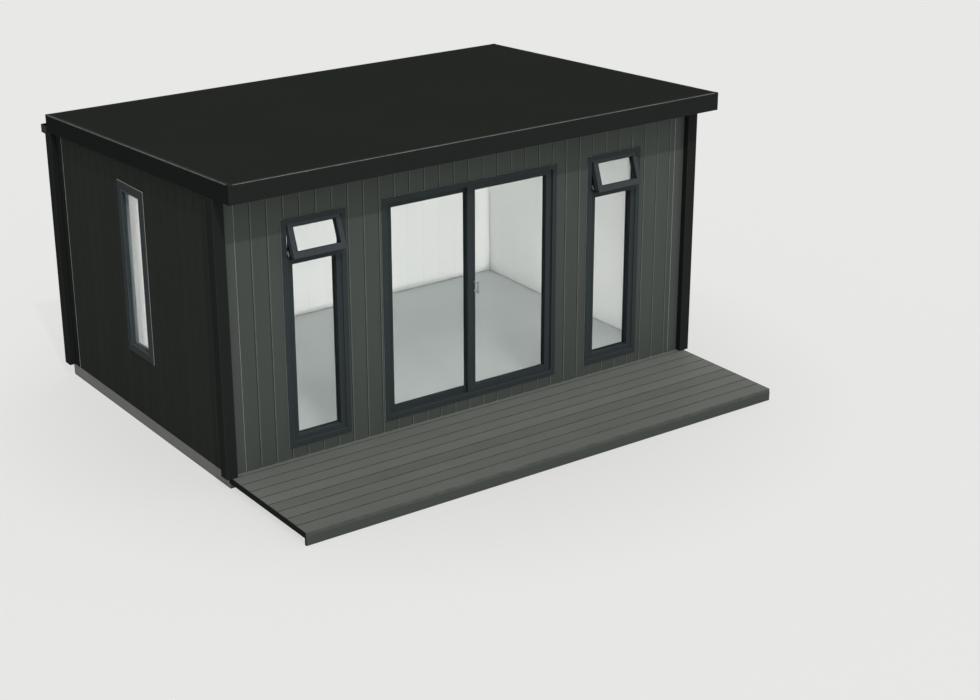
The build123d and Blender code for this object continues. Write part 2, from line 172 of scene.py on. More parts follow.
class ShaderGroups:
    """The effects that several finishes share, each built once as a node group."""

    def __init__(self) -> None:
        """Starts with no group built."""
        self.built: dict[str, bpy.types.NodeTree] = {}

    def start(
        self, name: str, inputs: dict[str, object], outputs: Sequence[str]
    ) -> tuple[Graph, bpy.types.NodeOutputs, bpy.types.NodeInputs]:
        """Makes an empty group with its sockets, which start with the place it is sampled at.

        Args:
            name: the group's name.
            inputs: the default of each further input, a number or a vector.
            outputs: the names of its outputs, which are numbers.

        Returns:
            The group's graph, the sockets that give its inputs and those that take its outputs.
        """
        tree = bpy.data.node_groups.new(name, "ShaderNodeTree")
        for label, default in {"Vector": (0.0, 0.0, 0.0), **inputs}.items():
            kind = "NodeSocketVector" if isinstance(default, tuple) else "NodeSocketFloat"
            socket = tree.interface.new_socket(name=label, in_out="INPUT", socket_type=kind)
            socket.default_value = default
        for label in outputs:
            tree.interface.new_socket(name=label, in_out="OUTPUT", socket_type="NodeSocketFloat")
        graph = Graph(tree)
        self.built[name] = tree
        return graph, graph.node("NodeGroupInput").outputs, graph.node("NodeGroupOutput").inputs

    def use(self, graph: Graph, name: str, **values: object) -> bpy.types.NodeOutputs:
        """Places a group in a tree, built when it is first asked for.

        Args:
            graph: where to place it.
            name: the group's name.
            values: what each input takes, with its name in lower case.

        Returns:
            The group node's outputs.
        """
        if name not in self.built:
            getattr(self, f"build_{name}")()
        made = graph.node("ShaderNodeGroup", node_tree=self.built[name])
        for socket in made.inputs:
            if socket.name.lower() in values:
                graph.feed(socket, values[socket.name.lower()])
        return made.outputs

    def build_grain(self) -> None:
        """Long pressed grain lines: a tone around 0 and a height."""
        inputs = {"Run": Run.UPRIGHT.value, "Scale": 60.0, "Strength": 0.1, "Shift": 0.0}
        graph, given, out = self.start("grain", inputs, ("Tone", "Height"))
        stretched = graph.vector("MULTIPLY", given["Vector"], given["Run"])[0]
        moved = graph.vector("ADD", stretched, given["Shift"])[0]
        fine = graph.noise(moved, given["Scale"], 6.0, 0.7)
        wide = graph.noise(moved, graph.maths("MULTIPLY", given["Scale"], 0.16), 3.0)
        wide, narrow = graph.maths("MULTIPLY", wide, 0.6), graph.maths("MULTIPLY", fine, 0.4)
        graph.feed(out["Tone"], graph.around_zero(graph.maths("ADD", wide, narrow), given["Strength"]))
        graph.feed(out["Height"], fine)

    def build_patches(self) -> None:
        """Broad soft patches of lighter and darker tone around 0."""
        graph, given, out = self.start("patches", {"Scale": 1.5, "Strength": 0.1}, ("Tone",))
        soft = graph.noise(given["Vector"], given["Scale"], 5.0, 0.6)
        graph.feed(out["Tone"], graph.around_zero(soft, given["Strength"]))

    def build_edge_wear(self) -> None:
        """A broken mask along the marked edges: wear where they rub on most finishes, a painted
        highlight on the cladding and the roof's edge trim, painted shade on the decking and the lining.
        """
        graph, given, out = self.start("edge_wear", {"Edge": 0.0, "Amount": 0.5}, ("Mask",))
        broken = graph.remap(graph.noise(given["Vector"], 9.0, 5.0), 0.3, 0.6, (0.55, 1.0))
        edge_marked = graph.maths("MULTIPLY", given["Edge"], broken)
        graph.feed(out["Mask"], graph.maths("MULTIPLY", edge_marked, given["Amount"]))

    def build_dust(self) -> None:
        """A thin film that gathers on faces that look up."""
        graph, given, out = self.start("dust", {"Scale": 4.0, "Amount": 0.1}, ("Mask",))
        facing = graph.part(graph.node("ShaderNodeNewGeometry").outputs["Normal"], "Z")
        upward = graph.remap(facing, 0.2, 0.9, (0.15, 1.0))
        cloud = graph.remap(graph.noise(given["Vector"], given["Scale"], 6.0), 0.35, 0.7, (0.2, 1.0))
        film = graph.maths("MULTIPLY", upward, cloud)
        graph.feed(out["Mask"], graph.maths("MULTIPLY", film, given["Amount"]))

    def build_speckle(self) -> None:
        """Fine pitting: a height for the bump and a value around 0 for the gloss."""
        graph, given, out = self.start("speckle", {"Scale": 700.0}, ("Height", "Gloss"))
        broad = graph.noise(given["Vector"], graph.maths("MULTIPLY", given["Scale"], 0.02), 3.0)
        graph.feed(out["Height"], graph.noise(given["Vector"], given["Scale"], 2.0))
        graph.feed(out["Gloss"], graph.around_zero(broad, 1.0))

    def build_rain(self) -> None:
        """Faint upright streaks that rain leaves on a wall."""
        graph, given, out = self.start("rain", {"Amount": 0.1}, ("Mask",))
        narrow = graph.vector("MULTIPLY", given["Vector"], (9.0, 9.0, 0.7))[0]
        streak = graph.remap(graph.noise(narrow, 1.0, 5.0, 0.6), 0.5, 0.75, (0.0, 1.0))
        graph.feed(out["Mask"], graph.maths("MULTIPLY", streak, given["Amount"]))


GROUPS = ShaderGroups()


# ---- Finishes ----


def linear(shown: Sequence[float]) -> Colour:
    """Turns a colour as a screen shows it, 0 to 255, into the linear colour of a shader."""
    parts = [value / 255 for value in shown]
    return tuple(part / 12.92 if part <= 0.04045 else ((part + 0.055) / 1.055) ** 2.4 for part in parts)


@dataclass(frozen=True)
class Cover:
    """A colour that lies over another, and how much of it there is."""

    colour: Colour
    amount: float


class Canvas:
    """A new material with its shader, its output and its object coordinates."""

    def __init__(self, name: str) -> None:
        """Makes the empty material.

        Args:
            name: the material's name.
        """
        self.material = bpy.data.materials.new(name)
        self.material.use_nodes = True
        self.graph = Graph(self.material.node_tree)
        nodes = self.material.node_tree.nodes
        self.shader = nodes["Principled BSDF"]
        self.output = nodes["Material Output"]
        self.place = self.graph.node("ShaderNodeTexCoord").outputs["Object"]

    def group(self, name: str, **values: object) -> bpy.types.NodeOutputs:
        """Places a shared group, sampled in the object's own coordinates."""
        return GROUPS.use(self.graph, name, vector=self.place, **values)

    def set(self, **values: object) -> None:
        """Feeds the shader's inputs.

        Args:
            values: what each takes, with its name in lower case with underscores.
        """
        for socket in self.shader.inputs:
            key = socket.name.lower().replace(" ", "_")
            if key in values:
                self.graph.feed(socket, values[key])

    def bump(self, height: Socket, strength: float, distance: float) -> None:
        """Gives the shader a relief of that height, where the distance is its depth in metres."""
        inputs = {"Height": height, "Strength": strength, "Distance": distance}
        self.set(normal=self.graph.node("ShaderNodeBump", inputs).outputs["Normal"])

    def toned(self, colour: Colour, tones: Sequence[Socket]) -> Socket:
        """Makes a colour, as a screen shows it, lighter and darker over the surface.

        Args:
            colour: the colour.
            tones: values around 0, which add up.

        Returns:
            The changed colour.
        """
        value = 1.0
        for tone in tones:
            value = self.graph.maths("ADD", tone, value)
        inputs = {"Color": linear(colour), "Value": value}
        return self.graph.node("ShaderNodeHueSaturation", inputs).outputs["Color"]

    def covered(self, colour: Socket, over: Cover, effect: str, **values: object) -> Socket:
        """Covers a colour where the mask of a shared group, which takes the values, says so."""
        mask = self.group(effect, amount=over.amount, **values)["Mask"]
        return self.graph.mix(mask, colour, linear(over.colour))

    def gloss(self, value: Socket, ends: Span, roughness: float, change: Span) -> None:
        """Makes the roughness follow a value between two ends, where it changes by so much."""
        out = (roughness + change[0], roughness + change[1])
        self.set(roughness=self.graph.remap(value, *ends, out))


@dataclass(frozen=True)
class Finish:
    """What every finish has: a name, the record's slot, a colour, its gloss and its highlights."""

    name: str
    slot: str
    colour: Colour
    roughness: float = 0.6
    specular: float = 0.3
    edge: Cover = Cover((97, 101, 101), 0.4)
    dust: Cover = Cover((149, 149, 147), 0.05)

    def mark_edges_and_dust(self, canvas: Canvas, colour: Socket, dust_scale: float) -> Socket:
        """Covers a colour at the marked edges and lays clouds of dust on the faces that look up; the
        edge colour is wear on most finishes, and painted highlight and painted shade on a few.
        """
        edge_marked = canvas.covered(colour, self.edge, "edge_wear", edge=canvas.graph.attribute("edge"))
        return canvas.covered(edge_marked, self.dust, "dust", scale=dust_scale)

    def dress(self, canvas: Canvas, graph: Graph) -> None:
        """Adds what the kind of finish has of its own, in the material's graph."""

    def make(self) -> bpy.types.Material:
        """Builds the finish's material.

        Returns:
            The material.
        """
        canvas = Canvas(self.name)
        canvas.set(roughness=self.roughness, specular_ior_level=self.specular)
        self.dress(canvas, canvas.graph)
        LOG.info("finish %s", self.name)
        return canvas.material


@dataclass(frozen=True)
class BoardFinish(Finish):
    """Composite or painted board: pressed grain, boards of slightly different tone, marked edges, and
    on some pieces painted shade and painted highlights.
    """

    run: Run = Run.UPRIGHT
    grain_scale: float = 70.0
    grain: float = 0.2
    rain: float = 0.0
    relief: float = 0.25

    def dress(self, canvas: Canvas, graph: Graph) -> None:
        """Adds grain, board tones, edge marks, dust and rain marks; the tones and edge marks carry
        painted shade and painted highlights on some pieces.

        Args:
            canvas: the material.
            graph: its nodes.
        """
        tone = graph.attribute("tone")
        grain = canvas.group(
            "grain", run=self.run.value, scale=self.grain_scale, strength=self.grain,
            shift=graph.maths("MULTIPLY", tone, 57.0))
        patches = canvas.group("patches", scale=2.2, strength=self.grain * 0.5)
        colour = canvas.toned(self.colour, (grain["Tone"], patches["Tone"], tone))
        colour = self.mark_edges_and_dust(canvas, colour, 3.0)
        if self.rain:
            colour = canvas.covered(colour, Cover(self.dust.colour, self.rain), "rain")
        canvas.set(base_color=colour)
        canvas.gloss(grain["Height"], (0.3, 0.7), self.roughness, (-0.1, 0.08))
        canvas.bump(grain["Height"], self.relief, 0.0006)


@dataclass(frozen=True)
class CoatFinish(Finish):
    """Powder coat, paint or moulded plastic: fine pitting, uneven gloss, rubbed edges, and on some
    pieces painted highlights and painted shade.
    """

    pitting: float = 700.0
    relief: float = 0.12
    patch: float = 0.1
    metallic: float = 0.0

    def dress(self, canvas: Canvas, graph: Graph) -> None:
        """Adds pitting, patches of gloss, edge marks, tones that carry painted side shade on some
        pieces, and dust.

        Args:
            canvas: the material.
            graph: its nodes.
        """
        patches = canvas.group("patches", scale=3.0, strength=self.patch)
        colour = canvas.toned(self.colour, (patches["Tone"], graph.attribute("tone")))
        canvas.set(base_color=self.mark_edges_and_dust(canvas, colour, 5.0), metallic=self.metallic)
        speckle = canvas.group("speckle", scale=self.pitting)
        canvas.gloss(speckle["Gloss"], (-0.25, 0.25), self.roughness, (-0.07, 0.07))
        canvas.bump(speckle["Height"], self.relief, 0.0003)


@dataclass(frozen=True)
class ConcreteFinish(Finish):
    """Cast concrete: cloudy tone, air holes, a foot that is darker towards the bottom, and pale edges.
    """

    hole_scale: float = 55.0
    hole_shade: float = 0.35
    foot_height: float = 0.03
    foot_shade: float = 0.5

    def dress(self, canvas: Canvas, graph: Graph) -> None:
        """Adds clouds, air holes and the darker foot.

        Args:
            canvas: the material.
            graph: its nodes.
        """
        clouds = canvas.group("patches", scale=3.5, strength=0.35)
        fine = canvas.group("patches", scale=90.0, strength=0.22)
        colour = canvas.toned(self.colour, (clouds["Tone"], fine["Tone"]))
        inputs = {"Vector": canvas.place, "Scale": self.hole_scale}
        holes = graph.node("ShaderNodeTexVoronoi", inputs)
        pit = graph.remap(holes.outputs["Distance"], 0.08, 0.16, (1.0, 0.0))
        sparse = graph.remap(graph.noise(canvas.place, 14.0), 0.5, 0.6, (0.0, 0.7))
        pit = graph.maths("MULTIPLY", pit, sparse)
        darker_foot = graph.remap(graph.part(canvas.place, "Z"), 0.0, self.foot_height, (0.25, 0.0))
        for mask, shade in ((pit, self.hole_shade), (darker_foot, self.foot_shade)):
            colour = graph.mix(mask, colour, tuple(shade * part for part in linear(self.colour)))
        colour = canvas.covered(colour, self.edge, "edge_wear", edge=graph.attribute("edge"))
        canvas.set(base_color=colour)
        canvas.gloss(clouds["Tone"], (-0.1, 0.1), self.roughness, (-0.08, 0.05))
        speckle = canvas.group("speckle", scale=260.0)
        height = graph.maths("SUBTRACT", speckle["Height"], graph.maths("MULTIPLY", pit, 3.0))
        canvas.bump(height, 0.3, 0.0012)


@dataclass(frozen=True)
class SheetFinish(Finish):
    """Rubber or vinyl sheet: very fine texture, faint ripples, dust in the low places."""

    ripple: float = 0.2
    ripple_scale: float = 1.3
    patch: float = 0.16

    def dress(self, canvas: Canvas, graph: Graph) -> None:
        """Adds ripples, patches and dust.

        Args:
            canvas: the material.
            graph: its nodes.
        """
        patches = canvas.group("patches", scale=0.9, strength=self.patch)
        fine = canvas.group("patches", scale=160.0, strength=self.patch)
        colour = canvas.toned(self.colour, (patches["Tone"], fine["Tone"], graph.attribute("tone")))
        canvas.set(base_color=canvas.covered(colour, self.dust, "dust", scale=0.8))
        canvas.gloss(patches["Tone"], (-0.05, 0.05), self.roughness, (-0.06, 0.05))
        wide = graph.noise(canvas.place, self.ripple_scale, 2.0)
        texture = graph.maths("MULTIPLY", graph.noise(canvas.place, 350.0, 2.0), 0.03)
        canvas.bump(graph.maths("ADD", wide, texture), self.ripple, 0.01)


@dataclass(frozen=True)
class MetalFinish(Finish):
    """Satin or brushed metal with fine lines along its length and finger marks."""

    run: Run = Run.UPRIGHT
    smudge: float = 0.12

    def dress(self, canvas: Canvas, graph: Graph) -> None:
        """Adds brushed lines and uneven gloss.

        Args:
            canvas: the material.
            graph: its nodes.
        """
        grain = canvas.group("grain", run=self.run.value, scale=900.0, strength=0.18)
        marks = graph.remap(graph.noise(canvas.place, 60.0), 0.35, 0.7, (0.0, self.smudge))
        canvas.set(
            base_color=canvas.toned(self.colour, (grain["Tone"],)), metallic=1.0,
            roughness=graph.maths("ADD", marks, self.roughness))
        canvas.bump(grain["Height"], 0.08, 0.0002)


@dataclass(frozen=True)
class GlassFinish(Finish):
    """Clear pane that lets lamps through, with a faint film on it."""

    ior: float = 1.13
    lamp_share: float = 0.78
    film: float = 0.02

    def dress(self, canvas: Canvas, graph: Graph) -> None:
        """Sets the clear pane and lets shadow rays pass.

        Args:
            canvas: the material.
            graph: its nodes.
        """
        film = graph.remap(graph.noise(canvas.place, 6.0), 0.45, 0.75, (0.0, self.film))
        canvas.set(
            base_color=linear(self.colour), roughness=film, transmission_weight=1.0,
            ior=self.ior, metallic=0.0)
        canvas.bump(graph.noise(canvas.place, 2.0, 1.0), 0.02, 0.0005)
        clear = graph.node("ShaderNodeBsdfTransparent", {"Color": (self.lamp_share,) * 3})
        shadow = graph.node("ShaderNodeLightPath").outputs["Is Shadow Ray"]
        both = graph.mix_shaders(shadow, canvas.shader.outputs[0], clear.outputs[0])
        graph.feed(canvas.output.inputs["Surface"], both)


# ---- The pod's own finishes ----

CONCRETE = ConcreteFinish(
    "cast_concrete", "concrete", (116, 117, 112), 0.85, 0.2, edge=Cover((149, 149, 144), 0.4))
FLOOR_VINYL = SheetFinish(
    "grey_vinyl", "floor_grey", (155, 161, 159), 0.55, 0.2, dust=Cover((185, 187, 184), 0.08),
    ripple=0.02, patch=0.05)
# The lining's darker edge colour is painted shade on each panel's shoulder at the joints.
LINING_WHITE = BoardFinish(
    "white_lining", "interior_white", (236, 237, 235), 0.6, 0.2, Cover((200, 203, 200), 0.8),
    Cover((215, 214, 208), 0.03), grain_scale=40.0, grain=0.02, relief=0.05)
# The cladding's lighter edge colour is a painted highlight on each board's shoulder at the groove.
CLADDING_GREY = BoardFinish(
    "grey_composite_cladding", "cladding_grey", (71, 76, 72), 0.66, 0.08,
    Cover((112, 118, 113), 0.55), Cover((105, 108, 102), 0.04), rain=0.04, relief=0.22)
TRIM_GREY = BoardFinish(
    "grey_composite_trim", "cladding_grey", (74, 79, 76), 0.64, 0.08, Cover((100, 105, 102), 0.4),
    Cover((105, 108, 102), 0.03), grain_scale=90.0, grain=0.1, rain=0.03, relief=0.12)
# The black cladding's lighter edge colour is a painted highlight on each board's shoulder at the
# groove.
CLADDING_BLACK = BoardFinish(
    "black_composite_cladding", "cladding_black", (45, 48, 44), 0.75, 0.0,
    Cover((52, 56, 51), 0.6), Cover((62, 64, 60), 0.03), rain=0.05, relief=0.22)
TRIM_BLACK = BoardFinish(
    "black_composite_trim", "trim_black", (34, 37, 35), 0.66, 0.0, Cover((50, 52, 50), 0.5),
    Cover((60, 62, 58), 0.02), grain_scale=90.0, grain=0.08, rain=0.04, relief=0.12)
POST_BLACK = BoardFinish(
    "black_composite_post", "post_black", (36, 38, 37), 0.64, 0.0, Cover((50, 53, 52), 0.5),
    Cover((60, 62, 58), 0.02), grain_scale=90.0, grain=0.08, rain=0.03, relief=0.12)
CEILING_WHITE = CoatFinish(
    "white_faced_panel", "roof_panel_white", (228, 231, 228), 0.5, 0.3,
    Cover((200, 202, 200), 0.4), Cover((205, 204, 198), 0.03), patch=0.03)
MEMBRANE = SheetFinish(
    "black_rubber_sheet", "membrane_black", (33, 36, 32), 0.95, 0.0,
    dust=Cover((52, 54, 49), 0.06), patch=0.08)
FASCIA = CoatFinish(
    "black_coated_board", "fascia_black", (36, 38, 37), 0.6, 0.0, Cover((50, 52, 51), 0.4),
    Cover((60, 61, 58), 0.03))
# The trim's pale edge colour is a painted highlight along its rounded outer edge.
EDGE_TRIM = CoatFinish(
    "coated_edge_trim", "edge_trim_grey", (36, 39, 36), 0.55, 0.01, Cover((118, 120, 116), 0.95),
    Cover((70, 71, 67), 0.05))
GUTTER_BLACK = CoatFinish(
    "black_gutter_plastic", "gutter_black", (33, 35, 35), 0.5, 0.03, Cover((48, 50, 50), 0.4),
    Cover((60, 61, 58), 0.05))
FRAME_GREY = CoatFinish(
    "anthracite_powder_coat", "frame_anthracite", (50, 57, 58), 0.5, 0.04,
    Cover((78, 85, 86), 0.35), Cover((100, 103, 101), 0.05))
# The vent sash's anthracite is painted lighter than the frame's, for the light on the vent tilted to
# the sky.
SASH_GREY_PAINTED_LIGHTER = CoatFinish(
    "anthracite_sash_coat", "frame_anthracite", (60, 66, 68), 0.5, 0.05,
    Cover((78, 85, 87), 0.25), Cover((90, 93, 92), 0.04))
# The side frames' anthracite is painted darker than the front frames', as shade on the side walls.
SIDE_FRAME_PAINTED_DARKER = CoatFinish(
    "anthracite_side_frame_coat", "frame_anthracite", (43, 49, 51), 0.55, 0.03,
    Cover((84, 90, 92), 0.5), Cover((90, 93, 92), 0.04))
# The side windows' bead is the frame's anthracite painted lighter, for the light its reveal gets.
SIDE_BEAD_PAINTED_LIGHTER = CoatFinish(
    "anthracite_bead_coat", "frame_anthracite", (66, 72, 75), 0.55, 0.03,
    Cover((90, 96, 98), 0.3), Cover((100, 103, 102), 0.03))
SIDE_SPACER = CoatFinish(
    "grey_spacer_bar", "frame_anthracite", (120, 126, 130), 0.6, 0.05,
    Cover((134, 140, 144), 0.3), Cover((149, 149, 147), 0.0))
SPACER = CoatFinish(
    "dark_spacer_bar", "frame_anthracite", (38, 41, 42), 0.5, 0.2, Cover((60, 63, 64), 0.2),
    Cover((149, 149, 147), 0.0))
GASKET = CoatFinish(
    "black_gasket", "frame_anthracite", (14, 15, 15), 0.7, 0.15, Cover((97, 101, 101), 0.1),
    Cover((149, 149, 147), 0.02), relief=0.06)
# Painted highlight: the pale colour of these thin joint beads stands in for the bright lines of light
# at the joints.
SEALANT_PAINTED_HIGHLIGHT = CoatFinish(
    "pale_joint_sealant", "edge_trim_grey", (188, 190, 186), 0.6, 0.25,
    Cover((160, 162, 158), 0.3), Cover((149, 149, 147), 0.1), pitting=300.0)
GLASS = GlassFinish("clear_glazing", "glass_clear", (252.745,) * 3, 0.0, 0.15)
STEEL = MetalFinish("satin_steel", "steel_satin", (190, 194, 192), 0.4, 0.5)
POST_NICKEL = CoatFinish(
    "satin_nickel_post_coat", "steel_satin", (150, 157, 155), 0.4, 0.2,
    Cover((158, 164, 162), 0.3), Cover((149, 149, 147), 0.0), metallic=0.2)
HANDLE_NICKEL = CoatFinish(
    "satin_nickel_coat", "steel_satin", (132, 139, 136), 0.38, 0.3, Cover((168, 174, 171), 0.4),
    Cover((149, 149, 147), 0.0), metallic=0.25)
DARK_METAL = CoatFinish(
    "dark_coated_metal", "steel_satin", (34, 37, 38), 0.5, 0.08, Cover((48, 51, 52), 0.3),
    Cover((149, 149, 147), 0.02))
RUNNER_NYLON = CoatFinish("black_nylon", "runner_plastic", (22, 22, 22), 0.5, 0.3, relief=0.05)
# The decking's almost black edge colour is painted shade along the boards' rounded edges at the joints
# and on the front board's nose.
DECKING = BoardFinish(
    "grey_composite_decking", "deck_composite", (94, 97, 92), 0.7, 0.08, Cover((46, 48, 46), 0.95),
    Cover((140, 140, 133), 0.05), run=Run.ALONG_X, grain_scale=55.0, grain=0.3, relief=0.3)
NOSING = BoardFinish(
    "grey_composite_nosing", "deck_composite", (67, 71, 67), 0.66, 0.05, Cover((104, 108, 104), 0.5),
    Cover((120, 120, 114), 0.04), run=Run.ALONG_X, grain_scale=60.0, grain=0.18)
JOIST_TIMBER = BoardFinish(
    "treated_softwood", "joist_timber", (140, 118, 88), 0.8, 0.2, Cover((120, 98, 70), 0.4),
    Cover((120, 112, 98), 0.1), run=Run.ALONG_Y, grain_scale=40.0, grain=0.5, relief=0.5)


# ---- Mesh kit ----

ARC_STEPS = 3
SOFT_STEPS = 2
TUBE_SIDES = 16
TUBE_CHAMFER = 0.18
SMOOTH_ANGLE = math.radians(36.0)
MITRE_HALF_WIDTH = 0.0011
MITRE_DEPTH = 0.0005
CLEARANCE = 0.0002

Row = tuple[float, float, bool, bool]
Box = tuple[Vector, Vector]


@dataclass(frozen=True)
class Corner:
    """A corner of a bar's section: how far from the bar's outer or inner edge, and how deep."""

    inset: float
    depth: float
    inner: bool = False
    radius: float = 0.0


@dataclass(frozen=True)
class WallCorner:
    """A corner of a wall's plan, with the tone and edge value of the face that starts there."""

    along: float
    depth: float
    tone: float = 0.0
    edge: float = 0.0


class Outline(NamedTuple):
    """A rectangle on a wall."""

    left: float
    right: float
    bottom: float
    top: float

    def grown(self, by: float) -> "Outline":
        """A rectangle that is larger by the same amount on every side."""
        return Outline(self.left - by, self.right + by, self.bottom - by, self.top + by)

    def inside(self, bars: Edges) -> "Outline":
        """What is left inside bars given as left, right, bottom and top widths."""
        left, right, bottom, top = bars
        return Outline(self.left + left, self.right - right, self.bottom + bottom, self.top - top)


def mirrored(end: int, first: float, second: float) -> Span:
    """Two places on the left (-1) or right (1) of the middle, the lower one first."""
    low, high = sorted((end * first, end * second))
    return low, high


def around(first: Span, second: Span) -> list[Span]:
    """The four corners of a rectangle between two places each way, in order round it."""
    return [(first[0], second[0]), (first[1], second[0]), (first[1], second[1]), (first[0], second[1])]


def chamfered(start: float, stop: float, chamfer: float) -> tuple[Span, ...]:
    """Stations along a bar with bevelled ends: where each is, and how far it is drawn in."""
    return (start, chamfer), (start + chamfer, 0.0), (stop - chamfer, 0.0), (stop, chamfer)


def bar_section(depth: Span, outer: float = 0.0, back: float = 0.0, inner: float = 0.0) -> list[Corner]:
    """Gives a plain bar's section.

    Args:
        depth: its front and back.
        outer: how much its outer front edge is rounded.
        back: how much its inner back edge is rounded.
        inner: how much its inner front edge is rounded.

    Returns:
        The corners.
    """
    return [
        Corner(0.0, depth[0], radius=outer), Corner(0.0, depth[1]),
        Corner(0.0, depth[1], True, back), Corner(0.0, depth[0], True, inner)]


def rounded_corner(before: Vector, corner: Vector, after: Vector, radius: float) -> list[Vector]:
    """Points of the arc that rounds a corner.

    Args:
        before: the corner before it.
        corner: the corner to round.
        after: the corner after it.
        radius: the arc's radius.

    Returns:
        The arc's points, from the side of before to the side of after.
    """
    first = (before - corner).normalized()
    second = (after - corner).normalized()
    half = first.angle(second) / 2
    middle = (first + second).normalized()
    centre = corner + middle * (radius / math.sin(half))
    start = corner + first * (radius / math.tan(half))
    end = corner + second * (radius / math.tan(half))
    points = []
    for step in range(ARC_STEPS + 1):
        spoke = (start - centre).lerp(end - centre, step / ARC_STEPS).normalized()
        points.append(centre + spoke * radius)
    return points


def section(points: Sequence[Corner], width: float) -> list[Row]:
    """Rounds a bar's section.

    Args:
        points: the section's corners.
        width: the bar's usual width.

    Returns:
        Inset, depth, whether it hangs on the inner edge, and whether the face that starts there is
        part of a rounded edge.
    """
    flat = [Vector((point.inset + width * point.inner, point.depth)) for point in points]
    made = []
    for index, point in enumerate(points):
        if point.radius <= 0.0:
            made.append((point.inset, point.depth, point.inner, False))
            continue
        after = flat[(index + 1) % len(points)]
        for step, spot in enumerate(rounded_corner(flat[index - 1], flat[index], after, point.radius)):
            made.append((spot.x - width * point.inner, spot.y, point.inner, step < ARC_STEPS))
    return made


def sunk_section(rows: Sequence[Row], width: float) -> list[Row]:
    """Shrinks a rounded section a little, for the line at a mitre.

    Args:
        rows: the section.
        width: the bar's usual width.

    Returns:
        The smaller section.
    """
    flat = [Vector((row[0] + width * row[2], row[1])) for row in rows]
    middle = sum(flat, Vector((0.0, 0.0))) / len(flat)
    area = sum(a.x * b.y - b.x * a.y for a, b in zip(flat, flat[1:] + flat[:1]))
    turn = 1.0 if area > 0 else -1.0
    made = []
    for index, row in enumerate(rows):
        inward = Vector((0.0, 0.0))
        for leg in (flat[index] - flat[index - 1], flat[(index + 1) % len(flat)] - flat[index]):
            if leg.length > 1e-9:
                leg.normalize()
                inward += turn * Vector((-leg.y, leg.x))
        if inward.length < 1e-6:
            inward = middle - flat[index]
        move = inward.normalized() * MITRE_DEPTH
        made.append((row[0] + move.x, row[1] + move.y, row[2], row[3]))
    return made


